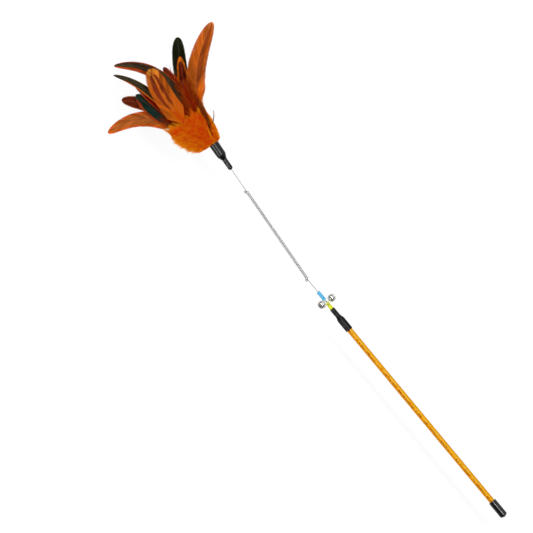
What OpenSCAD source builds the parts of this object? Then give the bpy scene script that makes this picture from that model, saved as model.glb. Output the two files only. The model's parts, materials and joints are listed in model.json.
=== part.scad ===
// Cat teaser wand: a clear orange glitter rod with a soft butt cap and a reducing sleeve,
// a steel wire that carries beads and two jingle bells, a long open spring, and a lure head
// of dyed cock feathers held in a black cap.
// Lengths are in millimetres. The rod lies along X with its butt end at the origin, +X runs
// towards the feathers and +Z is up. The wand lies on a flat surface under the butt cap.

/* [Rod] */
// Length of the glitter rod
rod_l = 300; // [200:5:450]
// Diameter of the glitter rod
rod_d = 7; // [5:0.5:10]

/* [Butt cap] */
// Length of rod inside the butt cap
butt_cover_l = 20.9; // [10:0.1:40]
// Wall of the butt cap round the rod
butt_wall = 1.3; // [0.8:0.1:3]
// Length of the butt cap's domed end
butt_dome_l = 2.8; // [1.5:0.1:6]

/* [Reducing sleeve] */
// Length of rod inside the sleeve
sleeve_cover_l = 11.6; // [6:0.1:30]
// Wall of the sleeve
sleeve_wall = 1.05; // [0.6:0.05:2]
// Length of the sleeve's wide part past the end of the rod
sleeve_shoulder_l = 4.8; // [2:0.1:10]
// Length of the sleeve's taper
sleeve_taper_l = 4.8; // [2:0.1:10]
// Length of the sleeve's narrow front
sleeve_front_l = 11.9; // [6:0.1:30]

/* [Wires] */
// Diameter of the steel wires and of the spring's wire
wire_d = 0.8; // [0.6:0.05:1]
// Depth of the wire in the end of the rod
wire_anchor_l = 12; // [6:0.5:30]
// Bare wire between the front blue bead and the spring
bare_wire_l = 18; // [10:0.5:40]
// Radius of the eye at the end of each wire, to the middle of the wire
eye_r = 1.5; // [1.4:0.05:1.8]

/* [Beads] */
// Diameter of the yellow beads
yellow_d = 4.8; // [3.5:0.1:5.2]
// Length of the yellow bead that sits in the sleeve
yellow_seat_l = 9; // [7:0.5:12]
// Part of that bead that shows
yellow_show_l = 6.1; // [3:0.1:6.5]
// Length of the loose yellow bead
yellow_l = 2.9; // [2:0.1:6]
// Diameter of the blue beads
blue_d = 4.8; // [3.5:0.1:5.2]
// Length of a blue bead
blue_l = 3.15; // [2:0.05:6]
// Number of blue beads, of which each has its own node
blue_n = 4; // [4:1:4]

/* [Bells] */
// Outer diameter of a jingle bell
bell_d = 10; // [8:0.5:12]
// Wall of the bell's sheet metal
bell_wall = 0.5; // [0.4:0.05:0.8]
// Diameter of the wire of a bell's loop
loop_wire_d = 0.8; // [0.6:0.05:0.9]
// Mean radius of a bell's loop
loop_r = 2.2; // [2:0.05:2.6]
// Width of the sound slots
slot_w = 0.9; // [0.6:0.1:1.2]
// Diameter of the steel ball inside a bell
clapper_d = 3.2; // [2.4:0.1:4]
// Height angle of the left bell about the wire
bell_left_turn = 38; // [10:1:60]
// Height angle of the right bell about the wire
bell_right_turn = 10; // [5:1:30]

/* [Spring] */
// Length of the spring over its ends
spring_l = 131.4; // [90:0.1:200]
// Outer diameter of the spring
spring_d = 4.4; // [4.3:0.05:5.5]
// Whole turns of the spring, which has half a turn more
spring_turns = 59; // [30:1:70]
// Extra opening of the first and of the last turn, where a wire's eye goes through
spring_open_l = 1.2; // [1:0.1:2]
// Angle between the rod and the line of the spring
lure_yaw = 5; // [-15:1:15]

/* [Head cap] */
// Distance from the spring to the tip of the head cap
upper_wire_l = 30.4; // [15:0.1:60]
// Outer diameter of the head cap's mouth
head_d = 12.2; // [11.6:0.1:16]
// Outer diameter of the wide part at its shoulder
head_shoulder_d = 11.6; // [11.2:0.1:16]
// Length of the wide part
head_wide_l = 16.3; // [12:0.1:30]
// Length of the taper
head_taper_l = 6.1; // [3:0.1:12]
// Outer diameter of the narrow nose
head_nose_d = 6.1; // [5:0.1:8]
// Length of the narrow nose
head_nose_l = 14.8; // [8:0.1:30]
// Wall of the head cap
head_wall = 0.9; // [0.6:0.05:1.2]

/* [Feathers] */
// Length of the longest feather outside the cap
feather_l = 168; // [100:1:220]
// Width of the widest feather
feather_w = 24; // [10:0.5:30]
// Diameter of a quill at its butt
quill_d = 1.3; // [1:0.1:1.7]
// Thickness of a feather's vane beside the quill
vane_t = 0.6; // [0.4:0.05:0.8]
// Length of bare or downy quill between the cap and the vane
vane_start = 40; // [30:1:60]
// Length of the down round the quills
down_l = 38; // [20:0.5:45]

/* [Hidden] */

// Clearances
grip_gap = 0.05;        // round a rod or a bead that a cap grips
wire_gap = 0.05;        // round a wire that is fixed in its hole
bead_gap = 0.15;        // round the wire in a bead's hole
bead_face_gap = 0.1;    // between the faces of neighbouring beads
loop_gap = 0.1;         // between a bell's loop and the wire it hangs on
seam_gap = 0.02;        // between the two shells of a bell
quill_gap = 0.3;        // round the bundle of quills
overrun = 1;            // of a cut past the face that it leaves

// Steps of a dome's quarter ellipse
dome_steps = 10;

// Wire, rod and sleeve
wire_r = wire_d / 2;
rod_r = rod_d / 2;
butt_r = rod_r + grip_gap + butt_wall;
butt_lip = 0.4;
butt_nib_r = 1;
butt_nib_l = 0.4;
sleeve_bore_r = rod_r + grip_gap;
sleeve_r = sleeve_bore_r + sleeve_wall;
sleeve_front_wall = 0.65;
sleeve_front_bore_r = yellow_d / 2 + grip_gap;
sleeve_front_r = sleeve_front_bore_r + sleeve_front_wall;
sleeve_lip = 0.3;
sleeve_shoulder_x = rod_l + sleeve_shoulder_l;
sleeve_taper_x = sleeve_shoulder_x + sleeve_taper_l;
sleeve_mouth_x = sleeve_taper_x + sleeve_front_l;

// Beads: shares of a bead's length that its end takes to round off, and of its radius that stays flat
bead_round_share = 0.36;
bead_face_share = 0.64;
bead_steps = 5;

// Places along the wire
yellow_2_x = sleeve_mouth_x + yellow_show_l - yellow_seat_l;
yellow_1_x = sleeve_mouth_x + yellow_show_l + bead_face_gap;
yellow_end_x = yellow_1_x + yellow_l;
bell_space = 4.2;
bell_spacing = 1.2;
bell_right_x = yellow_end_x + (bell_space - bell_spacing) / 2 - wire_r;
bell_left_x = bell_right_x + bell_spacing;
blue_x = yellow_end_x + bell_space;
blue_pitch = blue_l + bead_face_gap;
blue_end_x = blue_x + blue_n * blue_pitch;
kink_x = blue_end_x + bare_wire_l;

// Bells
bell_r = bell_d / 2;
bell_bore_r = bell_r - bell_wall;
loop_wire_r = loop_wire_d / 2;
bell_drop_share = 0.06;
// The loop's far side bears on the wire, and its near side is set in the bell's crown
loop_offset = loop_r - wire_r - loop_wire_r - loop_gap;
bell_reach = loop_offset + loop_r + bell_r * (1 - bell_drop_share);
seam_lip = 0.2;
seam_r = bell_r + seam_lip;
seam_h = 0.9;
slot_reach_angle = 60;
shell_steps = 16;
slot_end_share = 1.6;
slot_hole_d = slot_w * slot_end_share;
clapper_r = clapper_d / 2;
clapper_seat = 0.1;
clapper_drop = bell_bore_r - clapper_r - clapper_seat;

// Spring
spring_mean_r = spring_d / 2 - wire_r;
half_turn = 0.5;
all_turns = spring_turns + half_turn;
spring_pitch = (spring_l - wire_d - 2 * spring_open_l) / all_turns;
turn_step = 0.01;
rings_per_turn = 8;
tube_sides = 6;
link_turn = 0.25;
link_x = wire_r + link_turn * (spring_pitch + spring_open_l);
// Each eye passes midway between the linked turn and the next one
eye_x = link_x + (spring_pitch + spring_open_l * (1 - link_turn)) / 2
    - sqrt(pow(eye_r, 2) - pow(spring_mean_r - eye_r, 2));
eye_wrap_angle = 290;
eye_steps = 16;
eye_sides = 10;
eye_root_share = 0.8;

// Head cap
head_r = head_d / 2;
head_shoulder_r = head_shoulder_d / 2;
head_nose_r = head_nose_d / 2;
head_tip_x = spring_l + upper_wire_l;
head_taper_x = head_tip_x + head_nose_l;
head_shoulder_x = head_taper_x + head_taper_l;
head_mouth_x = head_shoulder_x + head_wide_l;
head_tip_t = 3;
head_dome_l = 2.4;
plug_l = 2.8;
plug_x = head_shoulder_x + plug_l;
lure_wire_end_x = head_shoulder_x - plug_l;
// The lure line climbs so that the head cap and the butt cap lie on one surface
lure_lift = asin((head_r - butt_r) / head_mouth_x);

// Quills in the mouth of the head cap: an outer and an inner ring
bundle_r = head_shoulder_r - head_wall - quill_gap - quill_d / 2;
outer_ring_n = 10;
inner_ring_n = 4;
inner_ring_share = 0.36;
quill_seat_gap = 0.1;
quill_butt_x = plug_x + quill_seat_gap;
quill_tip_share = 0.3;
splay_run = 12;
lift_run = 45;
stations = 15;
tip_crowding_share = 0.4;
vane_rise_share = 0.28;
tip_w_share = 0.06;
camber_share = 0.1;

// Each feather: ring (0 outer, 1 inner), place in the ring, yaw, turn of the yaw by the tip, how late it
// turns, climb, droop by the tip, shares of feather_l and feather_w, roundness of the tip, colour
orange = "DarkOrange";
dark = "DarkSlateGray";
brown = "SaddleBrown";
FEATHER_SHARES = [
    [0, 8, 20, 26, 1.5, 0, 0, 0.74, 0.6, 5, brown],
    [0, 7, 1, -33, 1, 1, 0, 0.82, 0.72, 8, dark],
    [0, 9, 28, 62, 1.7, 3, 2, 0.79, 0.64, 2, orange],
    [0, 6, -2, -16, 1, 5, 1, 0.58, 0.6, 3, brown],
    [1, 3, 29, -16, 2, 4.5, 2, 0.66, 0.76, 3, dark],
    [1, 2, 2, -30, 1, 9, 2, 0.68, 0.52, 4, orange],
    [0, 0, 21, -6, 1, 9, 3, 0.73, 0.66, 4, brown],
    [0, 5, 0, -42, 1, 13, 4, 0.68, 0.6, 3, brown],
    [1, 0, 17, 24, 4, 12, 5, 0.88, 0.5, 2, dark],
    [1, 1, -1, 0, 1, 13.5, 5, 0.66, 0.64, 3, orange],
    [0, 1, -3, 62, 2, 18.5, 8, 0.98, 0.62, 3, dark],
    [0, 4, -3, -58, 0.95, 16.5, 8, 0.92, 0.88, 4, orange],
    [0, 2, 26, -36, 0.8, 26, 8, 0.75, 1, 7, orange],
    [0, 3, -3, -8, 1, 22, 6, 0.53, 0.6, 3, orange]];

// Down: shares of the head cap's radius that it stands past the quills, to the left, right and top
down_left_share = 3.3;
down_right_share = 1.1;
down_top_share = 1.3;
down_gap = 0.3;
down_rim_share = 0.15;
down_floor_t = 0.9;
down_open_share = 0.4;
down_peak_share = 0.315;
down_around = 24;
down_rings = 10;
// The hole through the down opens as the quills spread
down_hole_r = bundle_r + quill_d / 2 + quill_gap;
down_hole_left_share = 0.66;
down_hole_right_share = 0.2;
down_hole_top_share = 0.26;

// Smooth step from 0 to 1
function smooth(u) = let (v = min(1, max(0, u))) v * v * (3 - 2 * v);

// Length of a vector of differences
function gap_between(a, b) = norm(a - b);

// Quarter of an ellipse from the axis out to the radius, as [radius, height] points
function dome_points(r, h, base, steps) =
    [for (i = [0:steps]) let (a = 90 * i / steps) [r * sin(a), base - h * cos(a)]];

// A turned piece on the X axis, from [radius, x] points
module turned(points) {
    rotate([0, 90, 0]) rotate_extrude($fn = 64) polygon(points);
}

// A round bar along X
module bar(x0, x1, r) {
    translate([x0, 0, 0]) rotate([0, 90, 0]) cylinder(r = r, h = x1 - x0, $fn = 32);
}

// Carries its children from the lure line, which starts at the spring, to the wand's frame
module on_lure() {
    translate([kink_x, 0, 0]) rotate([0, -lure_lift, -lure_yaw]) children();
}

// Soft cap on the butt end: domed, with the moulding nib in its middle
module butt_cap() {
    color("Black") turned(concat(
        [[0, -butt_dome_l - butt_nib_l], [butt_nib_r / 2, -butt_dome_l - butt_nib_l]],
        [for (p = dome_points(butt_r, butt_dome_l, 0, dome_steps)) if (p[0] >= butt_nib_r) p],
        [[butt_r, butt_cover_l - butt_lip], [butt_r - butt_lip, butt_cover_l],
         [rod_r + grip_gap, butt_cover_l], [rod_r + grip_gap, 0], [0, 0]]));
}

// Clear orange rod with the glitter cast in it, and a hole for the wire in its front end
module rod() {
    color("Orange", 0.8) difference() {
        bar(0, rod_l, rod_r);
        bar(rod_l - wire_anchor_l, rod_l + overrun, wire_r + wire_gap);
    }
}

// Reducing sleeve: wide over the rod, narrow round the seated yellow bead
module front_sleeve() {
    color("Black") turned([
        [sleeve_bore_r, rod_l - sleeve_cover_l], [sleeve_r - sleeve_lip, rod_l - sleeve_cover_l],
        [sleeve_r, rod_l - sleeve_cover_l + sleeve_lip], [sleeve_r, sleeve_shoulder_x],
        [sleeve_front_r, sleeve_taper_x], [sleeve_front_r, sleeve_mouth_x - sleeve_lip],
        [sleeve_front_r - sleeve_lip, sleeve_mouth_x], [sleeve_front_bore_r, sleeve_mouth_x],
        [sleeve_front_bore_r, sleeve_taper_x], [sleeve_bore_r, sleeve_shoulder_x]]);
}

// Middle and tangent of a wire's eye after an angle of its bend, where the wire comes in along +X
function eye_at(a) = [eye_r * sin(a), eye_r * (1 - cos(a)), 0];
function eye_ring(middle, a, r) =
    [for (k = [0:eye_sides - 1]) let (b = 360 * k / eye_sides)
        middle + r * (cos(b) * [-sin(a), cos(a), 0] + sin(b) * [0, 0, 1])];

// Eye of a wire: it starts inside the end of the straight wire and turns left round a ring
module wire_eye(x) {
    translate([x, 0, 0]) tube_skin(concat(
        [eye_ring([-wire_r, 0, 0], 0, wire_r * eye_root_share)],
        [for (k = [1:eye_steps]) let (a = eye_wrap_angle * k / eye_steps) eye_ring(eye_at(a), a, wire_r)]));
}

// Straight wire from its anchor in the rod to the eye that holds the spring
module rod_wire() {
    color("Silver") {
        bar(rod_l - wire_anchor_l, kink_x + eye_x, wire_r);
        wire_eye(kink_x + eye_x);
    }
}

// Barrel bead from x on, with rounded ends and a hole for the wire
module bead(x, d, l) {
    ends = [for (i = [0:bead_steps]) let (a = 90 * i / bead_steps)
        [d / 2 * (bead_face_share + (1 - bead_face_share) * sin(a)), l * bead_round_share * (1 - cos(a))]];
    turned(concat([[wire_r + bead_gap, x]],
        [for (p = ends) [p[0], x + p[1]]],
        [for (i = [bead_steps:-1:0]) [ends[i][0], x + l - ends[i][1]]],
        [[wire_r + bead_gap, x + l]]));
}

module yellow_bead_1() { color("Gold") bead(yellow_1_x, yellow_d, yellow_l); }

module yellow_bead_2() { color("Gold") bead(yellow_2_x, yellow_d, yellow_seat_l); }

module blue_bead(i) { color("SkyBlue") bead(blue_x + i * blue_pitch, blue_d, blue_l); }

// Carries a bell's own frame, crown down and slots up, to its place beside the wire
module at_bell(x, turn) {
    translate([x, 0, 0]) rotate([turn, 0, 0]) translate([0, bell_reach, 0]) rotate([-90, 0, 0]) children();
}

// Arc of a ball from height z0 up to the pole, as [radius, height] points
function ball_points(r, z0) =
    [for (i = [0:shell_steps]) let (low = asin(z0 / r), a = low + (90 - low) * i / shell_steps)
        r * [cos(a), sin(a)]];

// Half of a hollow ball, from height z0 up to the pole
module half_shell(z0) {
    inside = ball_points(bell_bore_r, z0);
    rotate_extrude($fn = 64) polygon(concat(
        ball_points(bell_r, z0), [for (i = [shell_steps:-1:0]) inside[i]]));
}

// Crown of a bell, on the side of its loop
module bell_top() {
    color("Gainsboro") mirror([0, 0, 1]) half_shell(seam_h / 2 + seam_gap);
}

// Lower shell of a bell: the crimped seam and the crossed sound slots with their round ends
module bell_bottom() {
    color("Gainsboro") difference() {
        union() {
            half_shell(0);
            translate([0, 0, -seam_h / 2]) difference() {
                cylinder(r = seam_r, h = seam_h, $fn = 64);
                translate([0, 0, -overrun]) cylinder(r = bell_bore_r, h = seam_h + 2 * overrun, $fn = 64);
            }
        }
        for (turn = [0, 90]) rotate([0, 0, turn]) {
            translate([-bell_r * sin(slot_reach_angle), -slot_w / 2, bell_r * cos(slot_reach_angle) - slot_w])
                cube([2 * bell_r * sin(slot_reach_angle), slot_w, bell_r]);
            for (side = [-1, 1]) rotate([0, side * slot_reach_angle, 0])
                translate([0, 0, bell_bore_r / 2]) cylinder(d = slot_hole_d, h = bell_r, $fn = 24);
        }
    }
}

// Wire loop of a bell, set on the crown and hung on the wand's wire
module bell_loop() {
    color("Silver") difference() {
        translate([0, 0, loop_offset - bell_reach]) rotate([0, 90, 0])
            rotate_extrude($fn = 48) translate([loop_r, 0]) circle(r = loop_wire_r, $fn = 24);
        sphere(r = bell_r + seam_gap, $fn = 64);
    }
}

// Loose steel ball on the floor of a bell
module bell_ball(x, turn) {
    color("DimGray") translate([x, bell_reach * cos(turn), bell_reach * sin(turn) - clapper_drop])
        sphere(r = clapper_r, $fn = 48);
}

// Middle of the spring's wire after t turns, on the lure line: a left-hand helix whose first and
// last turns are opened
function spring_at(t) = let (a = 90 - 360 * t)
    [wire_r + spring_pitch * t + spring_open_l * (min(1, t) + max(0, t - all_turns + 1)),
     spring_mean_r * cos(a), spring_mean_r * sin(a)];

// Ring of points round the spring's wire after t turns
function spring_ring(t) =
    let (a = 90 - 360 * t,
         out = [0, cos(a), sin(a)],
         along = spring_at(t + turn_step) - spring_at(t - turn_step),
         tangent = along / norm(along),
         side = cross(tangent, out),
         middle = spring_at(t))
    [for (k = [0:tube_sides - 1]) let (b = 360 * k / tube_sides)
        middle + wire_r * (cos(b) * out + sin(b) * side / norm(side))];

// Closed tube through rings of points, with a fan over each end
module tube_skin(rings) {
    n = len(rings);
    m = len(rings[0]);
    walls = [for (i = [0:n - 2], k = [0:m - 1]) let (a = i * m + k, b = i * m + (k + 1) % m)
        each [[a, b + m, b], [a, a + m, b + m]]];
    ends = [for (k = [1:m - 2]) each [[0, k, k + 1], [(n - 1) * m, (n - 1) * m + k + 1, (n - 1) * m + k]]];
    polyhedron(points = [for (r = rings) each r], faces = concat(walls, ends), convexity = 10);
}

// Open-wound spring, one unbroken tube. It prints the least gap between neighbouring turns, measured
// on the points of its surface.
module spring() {
    count = all_turns * rings_per_turn;
    rings = [for (i = [0:count]) spring_ring(i / rings_per_turn)];
    gaps = [for (i = [0:count - rings_per_turn - 1], j = [i + rings_per_turn - 1:i + rings_per_turn + 1])
        if (j <= count) each [for (p = rings[i], q = rings[j]) gap_between(p, q)]];
    echo(str("Least gap of the spring to itself: ", min(gaps), " mm"));
    color("Silver") on_lure() tube_skin(rings);
}

// Wire from the spring's last turn into the head cap
module lure_wire() {
    color("Silver") on_lure() {
        bar(spring_l - eye_x, lure_wire_end_x, wire_r);
        translate([spring_l, 0, 0]) mirror([1, 0, 0]) wire_eye(eye_x);
    }
}

// Inside of the head cap from the nose to the mouth, drawn in by a clearance
function head_bore(fit) = [
    [head_nose_r - head_wall - fit, head_tip_x + head_tip_t + fit],
    [head_nose_r - head_wall - fit, head_taper_x],
    [head_shoulder_r - head_wall - fit, head_shoulder_x]];

// Bottle-shaped cap that grips the feathers
module head_cap() {
    color("Black") on_lure() difference() {
        turned(concat(
            dome_points(head_nose_r, head_dome_l, head_tip_x + head_dome_l, dome_steps),
            [[head_nose_r, head_taper_x], [head_shoulder_r, head_shoulder_x], [head_r, head_mouth_x],
             [head_r - head_wall, head_mouth_x], [head_shoulder_r - head_wall, head_shoulder_x],
             [head_nose_r - head_wall, head_taper_x], [head_nose_r - head_wall, head_tip_x + head_tip_t],
             [0, head_tip_x + head_tip_t]]));
        bar(head_tip_x - overrun, head_tip_x + head_tip_t + overrun, wire_r + wire_gap);
    }
}

// Plug of glue that holds the wire and the butts of the quills
module glue_plug() {
    bore = head_bore(grip_gap);
    color("Wheat") on_lure() turned(concat(
        [[wire_r + wire_gap, bore[0][1]]], bore,
        [[bore[2][0], plug_x], [0, plug_x], [0, lure_wire_end_x + wire_gap],
         [wire_r + wire_gap, lure_wire_end_x + wire_gap]]));
}

// Heading of a feather at a distance past the mouth: [yaw, climb]
function heading(f, s) = let (share = max(0, s) / (f[7] * feather_l))
    [f[2] * smooth(s / splay_run) + f[3] * smooth(pow(share, f[4])),
     f[5] * smooth(s / lift_run) - f[6] * pow(share, 2)];

// Unit vector along a heading, and the one to its left
function ahead(h) = [cos(h[1]) * cos(h[0]), cos(h[1]) * sin(h[0]), sin(h[1])];
function leftward(h) = [-sin(h[0]), cos(h[0]), 0];

// Where a feather's quill stands in the mouth of the cap
function quill_seat(f) =
    let (inner = f[0] == 1,
         a = inner ? 360 * (f[1] + 0.5) / inner_ring_n : 360 * f[1] / outer_ring_n,
         r = bundle_r * (inner ? inner_ring_share : 1))
    [r * cos(a), r * sin(a)];

// Half the width of a feather at a distance past the mouth, with its vane between the down and the tip
function half_width(f, s, quill_r) =
    let (v = (s - vane_start) / (f[7] * feather_l - vane_start),
         full = f[8] * feather_w / 2)
    v <= 0 ? quill_r : quill_r + (full - quill_r) * smooth(v / vane_rise_share)
        * max(tip_w_share, sqrt(1 - pow(v, f[9])));

// Section of a feather: a round quill that flattens into a cambered vane with the shaft in its middle
function feather_ring(f, s, middle) =
    let (share = max(0, s) / (f[7] * feather_l),
         quill_r = quill_d / 2 * (1 - (1 - quill_tip_share) * share),
         w = half_width(f, s, quill_r),
         flat = smooth((w - quill_r) / quill_d),
         arm = quill_r * cos(45) * (1 - flat) + flat * (quill_r + (w - quill_r) / 2),
         thick = quill_r * sin(45) * (1 - flat) + flat * vane_t / 2,
         drop = camber_share * w * flat,
         h = heading(f, s),
         left = leftward(h),
         up = cross(ahead(h), left))
    [for (p = [[w, -drop], [arm, thick - drop / 4], [0, quill_r], [-arm, thick - drop / 4],
               [-w, -drop], [-arm, -thick - drop / 4], [0, -quill_r], [arm, -thick - drop / 4]])
        middle + p[0] * left + p[1] * up];

// Feather number i, from its butt on the glue plug to its tip
module feather(i) {
    f = FEATHER_SHARES[i - 1];
    seat = quill_seat(f);
    free_l = f[7] * feather_l;
    buried_l = head_mouth_x - quill_butt_x;
    marks = concat([-buried_l, -buried_l / 2],
        [for (k = [0:stations]) free_l * (1 - pow(1 - k / stations, 1 + tip_crowding_share))]);
    middles = [for (k = 0, p = [quill_butt_x, seat[0], seat[1]];
        k < len(marks);
        p = p + (k + 1 < len(marks) ? marks[k + 1] - marks[k] : 0)
            * ahead(heading(f, (marks[k] + marks[min(k + 1, len(marks) - 1)]) / 2)),
        k = k + 1) p];
    color(f[10]) on_lure() tube_skin([for (k = [0:len(marks) - 1]) feather_ring(f, marks[k], middles[k])]);
}

// Spread by direction: left is a = 0, top 90, right 180
function by_side(a, left, top, right) =
    let (c = cos(a)) (c > 0 ? left * c * c : right * c * c) + top * pow(sin(a), 2);

// Point of the down's section at a distance past the mouth: reach 0 is the hole, 1 the outside
function down_point(s, a, reach) =
    let (share = s / down_l,
         bulge = sqrt(max(0, sin(180 * pow(share, ln(0.5) / ln(down_peak_share))))),
         spread = s * by_side(a, down_hole_left_share, sin(a) > 0 ? down_hole_top_share : 0,
             down_hole_right_share) * smooth(down_open_share + (1 - down_open_share) * share),
         swell = head_r * by_side(a, down_left_share, down_top_share, down_right_share)
             * (down_rim_share + (1 - down_rim_share) * bulge),
         r = down_hole_r + spread + reach * swell)
    [head_mouth_x + down_gap + s, r * cos(a), max(-head_r + (1 - reach) * down_floor_t, r * sin(a))];

// Down at the foot of the feathers: a fluffy ring that lies flat on the surface, with the quills in its hole
module down() {
    m = down_around;
    n = down_rings;
    outside = [for (i = [0:n], k = [0:m - 1]) down_point(down_l * i / n, 360 * k / m, 1)];
    inside = [for (i = [n:-1:0], k = [0:m - 1]) down_point(down_l * i / n, 360 * k / m, 0)];
    total = 2 * (n + 1);
    faces = [for (i = [0:total - 1], k = [0:m - 1])
        let (a = i * m + k, b = i * m + (k + 1) % m, c = (i + 1) % total * m + (k + 1) % m,
             d = (i + 1) % total * m + k)
        each [[a, c, b], [a, d, c]]];
    color("OrangeRed") on_lure() polyhedron(points = concat(outside, inside), faces = faces, convexity = 6);
}

butt_cap();
rod();
front_sleeve();
rod_wire();
yellow_bead_1();
yellow_bead_2();
blue_bead(0);  // blue_bead_1
blue_bead(1);  // blue_bead_2
blue_bead(2);  // blue_bead_3
blue_bead(3);  // blue_bead_4
at_bell(bell_left_x, bell_left_turn) bell_top();  // bell_left_top
at_bell(bell_left_x, bell_left_turn) bell_bottom();  // bell_left_bottom
at_bell(bell_left_x, bell_left_turn) bell_loop();  // bell_left_loop
bell_ball(bell_left_x, bell_left_turn);  // bell_left_ball
at_bell(bell_right_x, 180 - bell_right_turn) bell_top();  // bell_right_top
at_bell(bell_right_x, 180 - bell_right_turn) bell_bottom();  // bell_right_bottom
at_bell(bell_right_x, 180 - bell_right_turn) bell_loop();  // bell_right_loop
bell_ball(bell_right_x, 180 - bell_right_turn);  // bell_right_ball
spring();
lure_wire();
head_cap();
glue_plug();
down();
feather(1);  // feather_01
feather(2);  // feather_02
feather(3);  // feather_03
feather(4);  // feather_04
feather(5);  // feather_05
feather(6);  // feather_06
feather(7);  // feather_07
feather(8);  // feather_08
feather(9);  // feather_09
feather(10);  // feather_10
feather(11);  // feather_11
feather(12);  // feather_12
feather(13);  // feather_13
feather(14);  // feather_14
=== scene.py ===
"""Looks of a cat teaser wand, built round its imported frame.

Lengths are in metres. The rod lies along X with its butt end at the origin. The lure line leaves the rod's
line where the spring hangs in the wire's eye and runs on to the feathers: X along it, Y to its left, Z up.
"""
import json
import math
from collections import namedtuple

import bpy
import numpy as np
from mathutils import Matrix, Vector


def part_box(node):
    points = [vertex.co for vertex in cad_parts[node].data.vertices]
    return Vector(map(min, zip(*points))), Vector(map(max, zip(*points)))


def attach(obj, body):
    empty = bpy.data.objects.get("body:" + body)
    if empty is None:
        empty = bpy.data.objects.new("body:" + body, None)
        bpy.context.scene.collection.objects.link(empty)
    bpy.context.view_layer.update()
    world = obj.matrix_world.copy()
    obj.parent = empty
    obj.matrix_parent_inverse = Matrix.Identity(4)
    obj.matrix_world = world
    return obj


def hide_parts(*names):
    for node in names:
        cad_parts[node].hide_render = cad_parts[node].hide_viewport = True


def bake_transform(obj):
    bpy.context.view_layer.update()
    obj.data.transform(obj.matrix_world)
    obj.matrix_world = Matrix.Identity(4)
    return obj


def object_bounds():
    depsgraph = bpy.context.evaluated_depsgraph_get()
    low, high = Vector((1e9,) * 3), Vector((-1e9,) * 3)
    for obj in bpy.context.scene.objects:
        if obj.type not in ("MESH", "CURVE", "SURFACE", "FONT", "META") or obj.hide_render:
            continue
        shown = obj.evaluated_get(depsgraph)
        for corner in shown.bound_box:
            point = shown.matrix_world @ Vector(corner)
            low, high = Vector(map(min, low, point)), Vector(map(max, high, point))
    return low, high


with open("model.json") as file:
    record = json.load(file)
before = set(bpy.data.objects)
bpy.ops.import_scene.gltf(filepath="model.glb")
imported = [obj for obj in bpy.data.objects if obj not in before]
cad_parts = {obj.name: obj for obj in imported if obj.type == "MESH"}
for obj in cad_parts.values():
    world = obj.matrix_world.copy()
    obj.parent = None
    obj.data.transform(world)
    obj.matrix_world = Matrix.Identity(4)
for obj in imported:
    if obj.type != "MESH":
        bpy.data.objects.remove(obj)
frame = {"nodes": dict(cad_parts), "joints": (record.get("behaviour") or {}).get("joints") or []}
cad_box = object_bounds()
NODES = frame["nodes"]
JOINTS = {joint["name"]: joint for joint in frame["joints"]}
MM = 0.001

# Lure line, from the joints that lie on it
LURE_X = np.array(JOINTS["spring_stretch"]["axis"], float)
LURE_Y = np.array(JOINTS["head_nod"]["axis"], float)
LURE_Z = np.cross(LURE_X, LURE_Y)
SWAY_PIVOT = np.array(JOINTS["spring_sway"]["pos_m"], float)
LURE_START = SWAY_PIVOT - LURE_X * SWAY_PIVOT[1] / LURE_X[1]


def on_lure(points):
    """Points of the lure's own frame in the wand's frame: start + x * X + y * Y + z * Z."""
    p = np.asarray(points, float)
    return LURE_START + p[..., 0:1] * LURE_X + p[..., 1:2] * LURE_Y + p[..., 2:3] * LURE_Z


def lure_span(node):
    """Nearest and farthest distance along the lure line of a CAD node, and its greatest radius about it."""
    mesh = NODES[node].data
    co = np.empty(len(mesh.vertices) * 3)
    mesh.vertices.foreach_get("co", co)
    p = co.reshape(-1, 3) - LURE_START
    x = p @ LURE_X
    return x.min(), x.max(), np.hypot(p @ LURE_Y, p @ LURE_Z).max()


HEAD_TIP, HEAD_MOUTH, HEAD_R = lure_span("head_cap")
SPRING_START, SPRING_END, SPRING_R = lure_span("spring")
PLUG_END = lure_span("glue_plug")[1]

# Wires and spring. The eye wraps round by some degrees and hangs a part of a turn into the spring, and the
# wire ends as far before the cap's shoulder as the glue plug ends past it
WIRE_R = 0.4 * MM
WIRE_SIDES = 12
EYE_R = 1.5 * MM
EYE_WRAP = 290
EYE_RINGS = 41
BARE_RINGS = 60
LINK_TURN = 0.25
PLUG_HALF = 2.8 * MM
SPRING_TURNS = 59.5
SPRING_OPEN = 1.2 * MM
SPRING_MEAN_R = SPRING_R - WIRE_R
SPRING_PITCH = (SPRING_END - SPRING_START - 2 * WIRE_R - 2 * SPRING_OPEN) / SPRING_TURNS
# Turn where the spring's first stretch ends and its second starts
SPLIT_TURN = 40
RINGS_PER_TURN = 24
SPRING_SIDES = 10

# Feathers. Lengths and widths of single ones are shares of these
FEATHER_L = 168 * MM
FEATHER_W = 24 * MM
QUILL_R = 0.65 * MM
BUNDLE_R = 3.95 * MM
INNER_RING = 0.36
OUTER_PLACES = 10
INNER_PLACES = 4
# Distances past the cap's mouth over which quills splay and rise, and where vanes start to widen
SPLAY_RUN = 12 * MM
LIFT_RUN = 45 * MM
VANE_START = 40 * MM
VANE_RISE = 0.28
CAMBER = 0.1
QUILL_TIP = 0.3
QUILL_SEAT = 0.1 * MM
QUILL_STEPS = 500
QUILL_SIDES = 8
# Narrow downy foot of a vane, below where it widens, and the loose barbs on it
FOOT_START = 6 * MM
FOOT_RUN = 20 * MM
FOOT_W = 1.6 * MM
FLUFF_START = 8 * MM
FLUFF_END = VANE_START + 20 * MM
FLUFF_L = 22 * MM
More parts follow.
